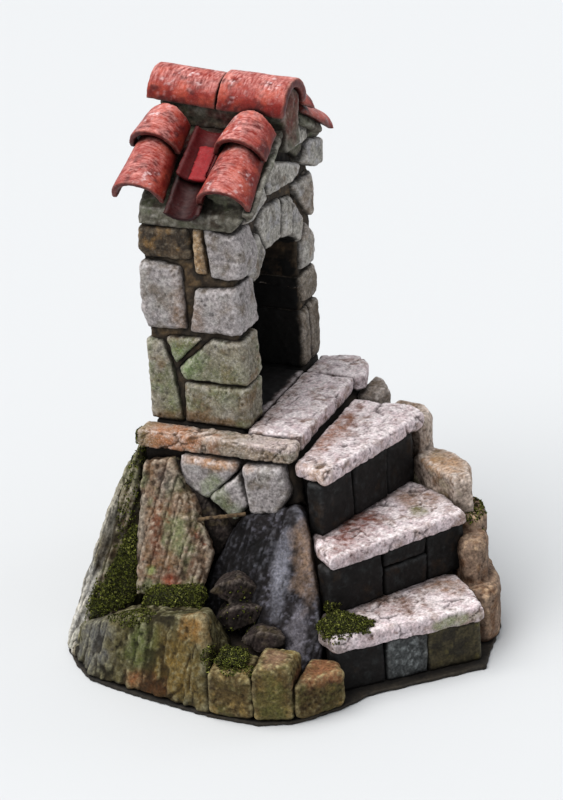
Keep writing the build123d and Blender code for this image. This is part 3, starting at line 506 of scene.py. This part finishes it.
# ---------------------------------------------------------------- palettes
DARK_WASH_AND_SHADE = (17, 11, 7)
WHITE = (226, 216, 216)
LOOKS = {
    "wall": dict(base=(138, 131, 130), wash_and_shade=DARK_WASH_AND_SHADE, dry=(212, 206, 206),
                 mottle=(((90, 78, 62), 3.0, 0.05, 0.7), ((150, 146, 142), 2.0, 0.1, 0.6),
                         ((62, 54, 44), 1.2, 0.3, 0.6))),
    "wall_low": dict(base=(112, 106, 90), wash_and_shade=DARK_WASH_AND_SHADE, dry=(196, 190, 178),
                     mottle=(((102, 82, 56), 3.4, -0.05, 0.75), ((96, 106, 72), 4.0, 0.1, 0.6),
                             ((146, 140, 130), 1.8, 0.2, 0.6), ((60, 48, 34), 1.2, 0.3, 0.6))),
    "wall_dark": dict(base=(66, 53, 38), wash_and_shade=(14, 10, 6), dry=(150, 138, 118), dry_amount=0.6,
                      mottle=(((34, 25, 16), 2.6, -0.1, 0.9), ((118, 88, 46), 2.0, 0.2, 0.8))),
    "wall_tan": dict(base=(140, 112, 78), wash_and_shade=(20, 14, 8), dry=(206, 190, 166),
                     mottle=(((92, 66, 38), 2.0, 0.0, 0.7),)),
    "arch": dict(base=(146, 142, 134), wash_and_shade=(15, 11, 8), dry=(214, 208, 204),
                 mottle=(((76, 68, 58), 2.8, 0.0, 0.7), ((148, 146, 148), 1.8, 0.1, 0.7),
                         ((92, 70, 44), 3.2, 0.3, 0.6))),
    "far": dict(base=(98, 88, 76), wash_and_shade=(18, 13, 9), dry=(188, 178, 166),
                mottle=(((70, 56, 40), 2.8, 0.0, 0.7), ((130, 124, 118), 1.8, 0.2, 0.6))),
    "mortar": dict(base=(46, 35, 24), wash_and_shade=(7, 5, 3), dry=(122, 106, 84), dry_amount=0.5,
                   mottle=(((22, 16, 10), 2.0, -0.1, 0.85), ((92, 72, 46), 2.0, 0.25, 0.7))),
    "bed": dict(base=(84, 80, 68), wash_and_shade=(20, 15, 10), dry=(186, 182, 172),
                mottle=(((78, 84, 58), 3.0, 0.0, 0.6), ((50, 38, 26), 2.2, 0.1, 0.8))),
    "slab": dict(base=(186, 168, 170), wash_and_shade=(30, 19, 13), dry=WHITE, top=0.8, dry_amount=0.88,
                 mottle=(((126, 100, 84), 4.0, 0.05, 0.7), ((206, 192, 196), 2.0, 0.0, 0.7),
                         ((96, 62, 44), 1.3, 0.36, 0.85), ((44, 32, 26), 0.8, 0.42, 0.85))),
    "edge": dict(base=(142, 128, 112), wash_and_shade=(34, 24, 15), dry=(206, 192, 184), top=0.4,
                 mottle=(((104, 84, 60), 2.6, -0.05, 0.7), ((120, 118, 104), 3.0, 0.1, 0.6),
                         ((54, 42, 30), 1.0, 0.32, 0.7))),
    "riser": dict(base=(15, 12, 11), wash_and_shade=(5, 4, 3), dry=(96, 98, 100), dry_amount=0.28, joint=1.3,
                  mottle=(((40, 42, 42), 1.3, 0.2, 0.5), ((38, 26, 15), 3.0, 0.25, 0.6))),
    "riser_light": dict(base=(58, 60, 60), wash_and_shade=(8, 7, 6), dry=(150, 150, 148), dry_amount=0.5,
                        mottle=(((116, 120, 120), 1.0, 0.1, 0.8), ((30, 27, 24), 2.2, 0.1, 0.7))),
    "riser_ochre": dict(base=(54, 48, 32), wash_and_shade=(9, 7, 5), dry=(132, 128, 106), dry_amount=0.4,
                        mottle=(((30, 26, 20), 2.2, -0.05, 0.8), ((96, 88, 48), 2.6, 0.25, 0.6))),
    "lean": dict(base=(104, 84, 68), wash_and_shade=(28, 18, 10), dry=(188, 174, 156),
                 mottle=(((104, 76, 50), 2.4, 0.0, 0.75), ((94, 102, 70), 4.2, 0.12, 0.75),
                         ((104, 54, 34), 1.6, 0.42, 0.8), ((48, 35, 26), 1.2, 0.32, 0.85))),
    "buttress": dict(base=(28, 25, 26), wash_and_shade=(7, 5, 6), dry=(132, 132, 142), dry_amount=0.4,
                     mottle=(((26, 22, 23), 3.4, -0.1, 0.8), ((96, 94, 104), 0.9, 0.22, 0.7))),
    "cliff": dict(base=(82, 74, 54), wash_and_shade=(20, 13, 7), dry=(176, 168, 148),
                  mottle=(((76, 80, 48), 3.8, 0.05, 0.7), ((66, 46, 28), 2.2, 0.15, 0.8),
                          ((128, 122, 110), 2.0, 0.15, 0.7))),
    "boulder": dict(base=(66, 60, 36), wash_and_shade=(18, 12, 6), dry=(150, 146, 118), dry_amount=0.6,
                    mottle=(((52, 50, 24), 4.0, 0.0, 0.8), ((98, 90, 58), 2.2, 0.15, 0.6),
                            ((44, 36, 20), 1.4, 0.3, 0.8))),
    "foot": dict(base=(72, 58, 32), wash_and_shade=(20, 14, 7), dry=(170, 158, 116),
                 mottle=(((68, 64, 32), 3.0, 0.0, 0.8), ((46, 32, 16), 1.6, 0.15, 0.85),
                         ((122, 100, 56), 2.2, 0.25, 0.6))),
    "slate": dict(base=(44, 36, 34), wash_and_shade=(8, 6, 5), dry=(118, 108, 100), dry_amount=0.5,
                  mottle=(((30, 25, 22), 2.2, -0.05, 0.8), ((74, 64, 44), 2.6, 0.2, 0.6))),
    "wedge": dict(base=(112, 94, 72), wash_and_shade=(30, 20, 12), dry=(180, 168, 150),
                  mottle=(((70, 48, 30), 2.2, 0.0, 0.8), ((94, 98, 64), 3.6, 0.2, 0.6))),
    "side": dict(base=(166, 150, 138), wash_and_shade=(38, 25, 15), dry=(212, 200, 192), top=0.3,
                 mottle=(((104, 76, 50), 2.6, 0.05, 0.75), ((118, 112, 84), 3.4, 0.2, 0.5),
                         ((70, 52, 36), 1.2, 0.3, 0.7))),
    "side_grey": dict(base=(122, 112, 104), wash_and_shade=(30, 22, 15), dry=(204, 196, 192),
                      mottle=(((88, 72, 56), 2.4, 0.0, 0.7),)),
    "side_green": dict(base=(112, 108, 60), wash_and_shade=(30, 24, 12), dry=(180, 172, 128),
                       mottle=(((84, 92, 36), 2.2, 0.0, 0.8),)),
    "side_brown": dict(base=(116, 96, 82), wash_and_shade=(44, 26, 14), dry=(196, 166, 134),
                       mottle=(((98, 68, 46), 2.2, 0.05, 0.75), ((168, 144, 122), 2.2, 0.2, 0.6))),
    "core": dict(base=(44, 34, 24), wash_and_shade=(9, 6, 4), dry=(90, 76, 56), dry_amount=0.4,
                 mottle=(((28, 20, 14), 3.0, 0.0, 0.8),)),
    "rim": dict(base=(34, 29, 23), wash_and_shade=(8, 6, 5), dry=(84, 76, 62), dry_amount=0.3,
                mottle=(((22, 19, 16), 3.0, 0.0, 0.8),)),
}
# Stains, and one painted shadow: the first letters of the nodes that each falls on, its place and
# its reach in the mound's layout, its colour and its amount.
STAINS_AND_SHADOWS = (
    ("landing_slab landing_rear_slab niche_floor", (23.6, 12, 47.5), (2.2, 24, 5), (58, 38, 26), 0.95),
    ("landing_slab landing_rear_slab", (26.4, 6, 47.5), (2.6, 26, 5), (128, 98, 78), 0.6),
    ("landing_edge_slab", (9, -11, 46), (11, 6, 5), (158, 96, 50), 0.85),
    ("landing_edge_slab", (1, -11, 46), (5, 6, 6), (92, 88, 48), 0.85),
    ("landing_edge_slab", (34, -11, 47.5), (9, 6, 1.6), (190, 172, 172), 0.7),
    ("step_3_tread", (40.2, 5, 44), (3.6, 14, 4), (124, 74, 42), 0.9),
    ("step_3_tread", (43.6, -12, 42), (3.4, 4, 4), (158, 122, 84), 0.7),
    ("step_2_tread", (49, -8, 29), (5.5, 12, 3), (108, 50, 30), 0.95),
    ("step_2_tread", (57, 9, 29), (6, 6, 3), (122, 84, 46), 0.9),
    ("step_2_tread", (60, 3, 29), (2.6, 2.6, 2), (98, 106, 52), 0.7),
    ("step_1_tread", (58, -12, 15), (8, 5, 3), (104, 66, 38), 0.85),
    ("step_1_tread", (68, -1, 15), (5, 6, 3), (128, 92, 60), 0.8),
    ("step_1_tread", (50, -24, 14), (7, 6, 4), (74, 66, 38), 0.85),
    ("step_1_tread", (72, -12, 12.4), (6, 6, 1.7), (116, 128, 84), 0.75),
    ("pillar_wedge pillar_second", (11, -6, 62), (5, 3, 6), (96, 118, 66), 0.75),
    ("pillar_second pillar_base", (20, -6, 58), (7, 4, 6), (92, 98, 64), 0.55),
    ("pillar_tall", (9, -6, 52), (4, 3, 9), (88, 98, 56), 0.65),
    ("pillar_", (12, -6, 48), (18, 4, 2.2), (104, 74, 40), 0.75),
    ("pillar_left", (12, -6, 72), (3, 3, 10), (104, 74, 42), 0.7),
    ("pillar_right", (15, -6, 72), (2.4, 3, 6), (104, 76, 46), 0.6),
    ("leaning_rock", (13, -24, 18.5), (2.6, 4, 1.8), (122, 54, 34), 0.9),
    ("leaning_rock", (8.6, -19, 27), (1.5, 6, 8), (96, 52, 32), 0.85),
    ("leaning_rock", (9.6, -15, 37), (3.4, 4, 4), (62, 54, 54), 0.8),
    ("leaning_rock", (8.2, -23, 20), (1.4, 3, 1.4), (112, 132, 70), 0.8),
    ("leaning_rock", (13.6, -18, 28), (2.2, 5, 8), (104, 106, 72), 0.6),
    ("leaning_rock", (4.0, -20, 26), (1.6, 8, 12), (126, 120, 110), 0.7),
    ("buttress_rock", (25, -17, 18), (11, 9, 16), (5, 4, 5), 0.97),
    ("buttress_rock", (37.2, -20, 22), (2.6, 7, 12), (122, 122, 132), 0.75),
    ("buttress_rock", (42.4, -25, 11), (2.6, 7, 9), (116, 112, 120), 0.75),
    ("buttress_rock", (43.4, -16, 25), (4.6, 8, 13), (128, 104, 86), 0.92),
    ("lower_boulder", (-2, -35, 8), (8, 8, 9), (88, 88, 88), 0.8),
    ("lower_boulder", (21, -42, 8), (9, 6, 11), (92, 72, 30), 0.92),
    ("lower_boulder", (25, -39, 18), (4.5, 5, 4), (132, 94, 46), 0.7),
    ("lower_boulder", (12, -39, 11), (4.5, 5, 6), (70, 80, 38), 0.75),
    ("lower_boulder", (13, -42, 3.5), (7, 4, 3), (124, 68, 40), 0.6),
    ("left_cliff", (-11.5, -24, 13), (6.4, 12, 20), (206, 204, 198), 0.95),
    ("left_cliff", (-5.6, -14, 28), (3.6, 7, 9), (176, 172, 160), 0.85),
    ("left_cliff", (0, -10, 40), (6, 7, 10), (72, 78, 46), 0.85),
    ("corbel_stones", (19, -12.7, 36), (4, 3, 4), (116, 130, 88), 0.65),
    ("corbel_stones", (20, -12.7, 42.4), (9, 3, 1.8), (160, 112, 66), 0.8),
    ("corbel_stones", (24, -12.7, 31), (4, 3, 3), (96, 112, 62), 0.6),
    ("foot_stones", (52, -35, 9.4), (6, 7, 2.2), (128, 84, 58), 0.85),
    ("foot_stones", (44, -42, 5), (3, 4, 9), (92, 90, 46), 0.7),
    ("foot_stones", (44, -40, 15), (4, 5, 2), (150, 116, 96), 0.7),
    ("side_stones_upper", (60, 15, 34.4), (7, 7, 2), (160, 120, 80), 0.7),
    ("arch_stones gable_stones", (24, 34, 82), (4, 5, 10), (110, 82, 52), 0.5),
    # painted shadow: dark red on the mortar under the ridge, where the covers shade it
    ("ridge_mortar roof_bed_near", (15, 8, 107), (14, 6, 6), (92, 14, 18), 0.97),
    ("ridge_mortar", (31, 16, 112), (2.4, 9, 6.5), (92, 40, 34), 1.0),
    ("ridge_mortar", (1, 16, 112), (2.4, 9, 6.5), (70, 34, 28), 1.0),
)


SOLID_SEED = 131            # between the seeds of a node's solids
SKINS = {}                  # the points and normals of each node's finished solids


def stone(node, kind, looks, seed):
    """One piece from a CAD node; looks is one palette's name, or one for each of its solids."""
    parts = []
    names = [looks] if isinstance(looks, str) else looks
    stains_and_shadows = [mark for on, *mark in STAINS_AND_SHADOWS if any(node.startswith(k) for k in on.split())]
    for k, (verts, faces) in enumerate(islands(node)):
        look = LOOKS[names[k % len(names)]]
        own = seed + SOLID_SEED * k
        surface = shaped(verts, faces, kind, own)
        closed = shade(surface)
        colour = painted(surface, closed, look, own, stains_and_shadows)
        SKINS.setdefault(node, []).append((surface.co.copy(), surface.normals()))
        colour = niche_soot(surface, colour)
        store(surface.mesh, "paint", colour)
        parts.append(surface.mesh)
    return show(joined(parts, node), "painted_" + node, SLOTS[node], node)


WALL = np.array(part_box("pillar_tall_stone")[0]) / MM      # the wall's near rear corner, low down
NICHE_LOW = np.array([4.2, 8.7, -1.2])                    # the niche's inside, from that corner
NICHE_HIGH = np.array([22.2, 33.9, 37.0])
NICHE_MOUTH = 22.1
SOOT = (6, 5, 4)


def niche_soot(surface, colour):
    """The inside of the niche is painted black."""
    q = surface.co - WALL
    inside = np.all((q > NICHE_LOW) & (q < NICHE_HIGH), axis=1)
    ragged = 0.5 * noise(surface.co, 1.6, 5)
    depth = ramp(NICHE_MOUTH - q[:, 0] + ragged, 0.1, 1.3) * inside
    return mixed(colour, lin(*SOOT), depth * 0.99)


# ---------------------------------------------------------------- the stones
PLAN = (
    ("pillar_base_stone", "block", "wall_low"), ("pillar_tall_stone", "block", "wall_low"),
    ("pillar_wedge_stone", "block", "wall_low"), ("pillar_second_stone", "block", "wall_low"),
    ("pillar_left_stone", "block", "wall"), ("pillar_right_stone", "block", "wall"),
    ("pillar_top_stones", "block", ("wall", "wall_tan", "wall_dark")),
    ("far_pillar_stones", "block", "far"), ("arch_stones", "block", "arch"),
    ("arch_keystone", "block", "arch"), ("gable_stones", "block", "arch"),
    ("back_wall_stones", "block", "wall"),
    ("near_pillar_mortar", "mortar", "mortar"), ("far_pillar_mortar", "mortar", "mortar"),
    ("back_wall_mortar", "mortar", "mortar"), ("arch_mortar", "mortar", "mortar"),
    ("landing_edge_slab", "slab", "edge"), ("landing_slab", "slab", "slab"),
    ("landing_rear_slab", "slab", "slab"), ("niche_floor_slab", "mortar", "slab"),
    ("step_1_tread", "slab", "slab"), ("step_2_tread", "slab", "slab"),
    ("step_3_tread", "slab", "slab"),
    ("step_1_risers", "riser", ("riser_ochre", "riser", "riser_light")),
    ("step_2_risers", "riser", "riser"), ("step_3_risers", "riser", "riser"),
    ("corbel_stones", "block", "wall"),
    ("side_stones_upper", "block", ("side", "side_grey", "side")),
    ("side_stones_lower", "block", ("side_brown", "side", "side_green")),
    ("foot_stones", "block", "foot"),
    ("buttress_rock", "buttress", "buttress"), ("leaning_rock", "rock", "lean"),
    ("left_cliff", "cliff", "cliff"), ("left_cliff_rear", "cliff", "cliff"),
    ("lower_boulder", "boulder", "boulder"),
    ("cleft_slates", "slate", ("slate", "slate", "slate", "wedge")),
    ("rear_rock_left", "rear", "cliff"), ("rear_rock_middle", "rear", "boulder"),
    ("rear_rock_right", "rear", "cliff"),
    ("rock_core", "core", "core"), ("stair_core", "core", "core"), ("base_plate", "plate", "rim"),
    ("roof_bed_near", "mortar", "bed"), ("roof_bed_far", "mortar", "bed"),
    ("ridge_mortar", "mortar", "bed"), ("verge_fillet", "mortar", "bed"),
)
for order, (node, kind, looks) in enumerate(PLAN):
    stone(node, kind, looks, seed=1000 + 97 * order)


# ---------------------------------------------------------------- roof tiles
CLAY_RED = lin(132, 38, 30)
CLAY_ORANGE = lin(172, 72, 52)
CLAY_DARK = lin(70, 24, 26)
# painted highlight for the faces turned up
CLAY_LIT = lin(222, 152, 144)
CLAY_DAB = lin(236, 212, 212)
# painted shade on the faces turned down
CLAY_UNDERSIDE_SHADE = lin(62, 18, 20)
# painted shade where other parts close in, with the wash in the hollows
CLAY_WASH_AND_SHADE = lin(26, 9, 9)
CLAY_EDGE = lin(236, 176, 160)
# How far brush strokes are drawn out along x, y and z: narrow along a tile, long across it.
ALONG_RIDGE = (0.35, 1.6, 1.6)
ALONG_SLOPE = (1.6, 0.35, 1.6)
TILE_SHADE = 3.5


def tile(node, seed, pan_colour):
    """A clay tile: streaky red paint, salmon brush strokes across it that are a painted highlight on
    the faces turned up, pale dabs, and painted shade on the faces turned down and where parts close in.
    """
    parts = []
    for k, (verts, faces) in enumerate(islands(node)):
        own = seed + SOLID_SEED * k
        surface = shaped(verts, faces, "tile", own)
        p, n = surface.co, surface.normals()
        closed = shade(surface, TILE_SHADE)
        fine, broad = surface.hollow(2), surface.hollow(9)
        stroke = ALONG_RIDGE if node.startswith("ridge") else ALONG_SLOPE
        streaks = layered(p, 0.62, own + 21, 4, stroke)
        colour = np.tile(CLAY_RED, (len(p), 1))
        colour = mixed(colour, CLAY_ORANGE, ramp(layered(p, 3.0, own + 2, 3), -0.1, 0.5) * 0.8)
        colour = mixed(colour, CLAY_DARK, ramp(layered(p, 2.2, own + 4, 3), 0.08, 0.5) * 0.8)
        # painted highlight: the salmon strokes show on the faces turned up, as if lit from above
        lit = ramp(n[:, 2], 0.42, 0.98)
        patches = 0.5 + 0.5 * ramp(layered(p, 3.6, own + 25, 2), -0.4, 0.2)
        colour = mixed(colour, CLAY_LIT, ramp(streaks, -0.45, 0.6) * lit * patches)
        dabs = ramp(layered(p, 0.8, own + 31, 3), 0.28, 0.5)
        dabs = dabs * ramp(layered(p, 4.0, own + 33), -0.1, 0.4)
        # pale dabs, stronger on the faces turned up as a painted highlight
        colour = mixed(colour, CLAY_DAB, dabs * (0.25 + 0.75 * lit) * 0.85)
        # painted shade on the faces turned down
        underside_shade = ramp(-n[:, 2], -0.62, 0.1)
        colour = mixed(colour, CLAY_UNDERSIDE_SHADE, underside_shade * 0.85)
        # painted shade where other parts close in, with the wash in the hollows
        wash_and_shade = np.clip(ramp(closed, 0.12, 0.55) + ramp(fine, 0.008, 0.06) * 0.6, 0, 1)
        colour = mixed(colour, CLAY_WASH_AND_SHADE, wash_and_shade * 0.93)
        # pale dry-brush on the arrises, stronger on the faces turned up as a painted highlight
        brush = ramp(-fine, 0.008, 0.05) * 0.6 + ramp(-broad, 0.05, 0.35) * 0.5
        brush *= (1 - np.clip(closed * 1.5, 0, 1)) * (0.3 + 0.7 * lit)
        colour = mixed(colour, CLAY_EDGE, np.clip(brush, 0, 1) * 0.6)
        if pan_colour:
            # painted shade: the pan's colour turns darker where other parts close in
            pan_shaded = lin(*pan_colour) * (0.5 + 0.9 * ramp(-closed, -0.5, 0.0))[:, None]
            colour = mixed(colour, pan_shaded, np.full(len(p), 0.94))
        store(surface.mesh, "paint", np.clip(colour, 0.001, 1))
        parts.append(surface.mesh)
    return show(joined(parts, node), "clay_" + node, "roof_tile", node)


# The pans' colour: near-black red for most, a painted shade for pans deep under the covers, and
# over two nearer ones a brighter crimson.
PAN_RED_IN_SHADE = (22, 2, 4)
PAN_COLOURS = {"pan_tile_near_broken": (116, 12, 20), "pan_tile_near_upper": (58, 4, 8)}
for order, node in enumerate(sorted(n for n in NODES if SLOTS[n] == "roof_tile")):
    pan_colour = PAN_COLOURS.get(node, PAN_RED_IN_SHADE if node.startswith("pan") else None)
    tile(node, 5000 + 71 * order, pan_colour)


# ---------------------------------------------------------------- moss and root
GRAINS = (lin(76, 80, 26), lin(106, 112, 42), lin(54, 52, 22), lin(152, 154, 76))
GRAIN_SHARES = (0.36, 0.36, 0.2, 0.08)
GRAINS_PER_PATCH = 3600
GLUE = lin(34, 36, 10)      # the dark green glue under the grains
GLUE_SUNK = 0.25


def grain(middle, size, rgb, rng, verts, faces, paint):
    """One ragged grain of flock."""
    first = len(verts)
    axes = rng.normal(size=(3, 3))
    axes /= np.linalg.norm(axes, axis=1)[:, None]
    for axis in axes:
        verts.append(tuple((middle + axis * size) * MM))
        verts.append(tuple((middle - axis * size) * MM))
    paint += [rgb] * 6
    for a in (0, 1):
        for b in (2, 3):
            for c in (4, 5):
                faces.append((first + a, first + b, first + c))


def flock(node):
    """Flock: thousands of tiny grains stuck on the moss patches."""
    rng = np.random.default_rng(7)
    verts, faces, paint = [], [], []
    for k, (raw_verts, raw_faces) in enumerate(islands(node)):
        surface = shaped(raw_verts, raw_faces, "mortar", 900 + k)
        n = surface.normals()
        seen = np.where(n[:, 2] > -0.5)[0]
        closed = shade(surface, 1.0)
        seen = seen[closed[seen] < 0.85]
        spots = rng.choice(seen, min(len(seen), GRAINS_PER_PATCH), replace=False)
        first = len(verts)
        verts += [tuple(v * MM) for v in surface.co - n * GLUE_SUNK]
        faces += [tuple(first + i for i in f.vertices) for f in surface.mesh.polygons]
        paint += [GLUE] * len(surface.co)
        for spot in spots:
            middle = surface.co[spot] + n[spot] * rng.uniform(-0.15, 0.35)
            rgb = GRAINS[rng.choice(len(GRAINS), p=GRAIN_SHARES)]
            grain(middle, rng.uniform(0.16, 0.36), rgb, rng, verts, faces, paint)
        bpy.data.meshes.remove(surface.mesh)
    mesh = bpy.data.meshes.new("flock")
    mesh.from_pydata(verts, [], faces)
    store(mesh, "paint", np.array(paint))
    return show(mesh, "flock_patches", "moss", node)


def scattered(places):
    """Loose grains of flock round the patches and on ledges, in one mesh."""
    rng = np.random.default_rng(11)
    verts, faces, paint = [], [], []
    for node, place, reach, count in places:
        skins = [skin for name in SKINS if name.startswith(node) for skin in SKINS[name]]
        points = np.concatenate([co + n * 0.1 for co, n in skins])
        gap = np.linalg.norm((points - LAYOUT - np.array(place)) / np.array(reach), axis=1)
        near = np.where(gap + 0.5 * layered(points, 2.6, 77, 3) < 0.9)[0]
        for spot in rng.choice(near, min(len(near), count), replace=False):
            size = rng.uniform(0.14, 0.34)
            rgb = GRAINS[rng.choice(len(GRAINS), p=GRAIN_SHARES)]
            grain(points[spot], size, rgb, rng, verts, faces, paint)
    mesh = bpy.data.meshes.new("loose_flock")
    mesh.from_pydata(verts, [], faces)
    store(mesh, "paint", np.array(paint))
    return show(mesh, "loose_flock", "moss")


def dead_root():
    """The thin dead root over the cleft: knobbly, brown, dirty."""
    verts, faces = islands("root")[0]
    surface = Surface(remeshed(verts, faces, 0.16))
    surface.co = surface.co + surface.normals() * (0.12 * layered(surface.co, 0.9, 3))[:, None]
    surface.push()
    bark = np.tile(lin(96, 78, 56), (len(surface.co), 1))
    dirt = ramp(layered(surface.co, 1.0, 5), -0.2, 0.4)
    store(surface.mesh, "paint", mixed(bark, lin(44, 32, 20), dirt))
    return show(surface.mesh, "dead_root", "twig", "root")


flock("moss_patches")
# Where loose grains lie: the nodes' first letters, the place, the reach and the count.
scattered((
    ("left_cliff", (2, -17, 28), (4, 8, 12), 700),
    ("left_cliff", (-3, -27, 12), (5, 6, 7), 500),
    ("left_cliff", (0.5, -11, 41.5), (2.5, 4, 3), 160),
    ("lower_boulder", (6, -35, 16), (9, 4, 3), 420),
    ("leaning_rock", (13, -25, 16.4), (9, 3, 1.6), 380),
    ("step_1_tread", (52, -26, 14.6), (6, 5, 2), 260),
    ("step_2_risers", (53, -22, 16), (6, 4, 2.4), 240),
    ("foot_stones", (35, -42, 11.4), (5, 3, 1.5), 240),
    ("lower_boulder", (30, -40, 12), (3, 4, 4), 140),
    ("side_stones_lower", (68, 13, 25.6), (4, 6, 1.6), 360),
    ("cleft_slates", (30, -25, 14), (8, 5, 6), 90),
    ("landing_edge_slab", (0, -11, 46), (3, 4, 3), 90),
))
dead_root()


# ---------------------------------------------------------------- camera, light, floor
AZIMUTH, ELEVATION, ROLL = (math.radians(a) for a in (24.5, 25.0, 3.6))
CAMERA_PLACE = np.array([243.9, -467.4, 292.4])           # in the mound's layout
LENS, SENSOR = 120, 36
SUN_POWER, SUN_SPREAD = 3.1, math.radians(55)
SUN_FROM = Vector((-0.3, -0.32, 1.0))
SKY, SKY_POWER = (0.93, 0.96, 1.0, 1), 0.58
PAPER = (0.6, 0.612, 0.622, 1)
back = Vector((math.sin(AZIMUTH) * math.cos(ELEVATION), -math.cos(AZIMUTH) * math.cos(ELEVATION),
               math.sin(ELEVATION)))
level = Vector((math.cos(AZIMUTH), math.sin(AZIMUTH), 0))
upward = back.cross(level)
right = level * math.cos(ROLL) - upward * math.sin(ROLL)
upward = level * math.sin(ROLL) + upward * math.cos(ROLL)
place = (CAMERA_PLACE + LAYOUT) * MM
camera = bpy.data.objects.new("camera", bpy.data.cameras.new("camera"))
camera.data.lens = LENS
camera.data.sensor_width = SENSOR
camera.data.clip_start = 0.01
turn = Matrix((right, upward, back)).transposed().to_4x4()
camera.matrix_world = Matrix.Translation(Vector(place)) @ turn
bpy.context.scene.collection.objects.link(camera)
bpy.context.scene.camera = camera


def lamp(name, place, target, size, power, tint):
    light = bpy.data.lights.new(name, "AREA")
    light.shape = "DISK"
    light.size = size
    light.energy = power
    light.color = tint
    holder = bpy.data.objects.new(name, light)
    holder.location = place
    holder.rotation_euler = (Vector(target) - Vector(place)).to_track_quat("-Z", "Y").to_euler()
    bpy.context.scene.collection.objects.link(holder)


sun = bpy.data.lights.new("key", "SUN")
sun.energy = SUN_POWER
sun.angle = SUN_SPREAD
sun.color = (1.0, 0.985, 0.965)
key = bpy.data.objects.new("key", sun)
key.rotation_euler = SUN_FROM.to_track_quat("Z", "Y").to_euler()
bpy.context.scene.collection.objects.link(key)
lamp("left_fill", (-0.7, -0.55, 0.4), (0, 0, 0.05), 0.6, 0.9, (1.0, 0.99, 0.98))
lamp("right_rear", (0.9, 0.9, 0.5), (0.3, 0.6, 0), 0.6, 1.6, (0.97, 0.98, 1.0))

world = bpy.data.worlds.new("studio")
bpy.context.scene.world = world
world.use_nodes = True
sky = world.node_tree.nodes["Background"]
sky.inputs["Color"].default_value = SKY
sky.inputs["Strength"].default_value = SKY_POWER

FLOOR_HALF = 3.0
floor_mesh = bpy.data.meshes.new("floor")
corners = [(-FLOOR_HALF, -FLOOR_HALF, 0), (FLOOR_HALF, -FLOOR_HALF, 0),
           (FLOOR_HALF, FLOOR_HALF, 0), (-FLOOR_HALF, FLOOR_HALF, 0)]
floor_mesh.from_pydata(corners, [], [(0, 1, 2, 3)])
floor = bpy.data.objects.new("floor", floor_mesh)
bpy.context.scene.collection.objects.link(floor)
paper = bpy.data.materials.new("pale_paper")
paper.use_nodes = True
paper_shader = paper.node_tree.nodes["Principled BSDF"]
paper_shader.inputs["Base Color"].default_value = PAPER
paper_shader.inputs["Roughness"].default_value = 0.7
floor_mesh.materials.append(paper)
bpy.context.scene.view_settings.view_transform = "Standard"
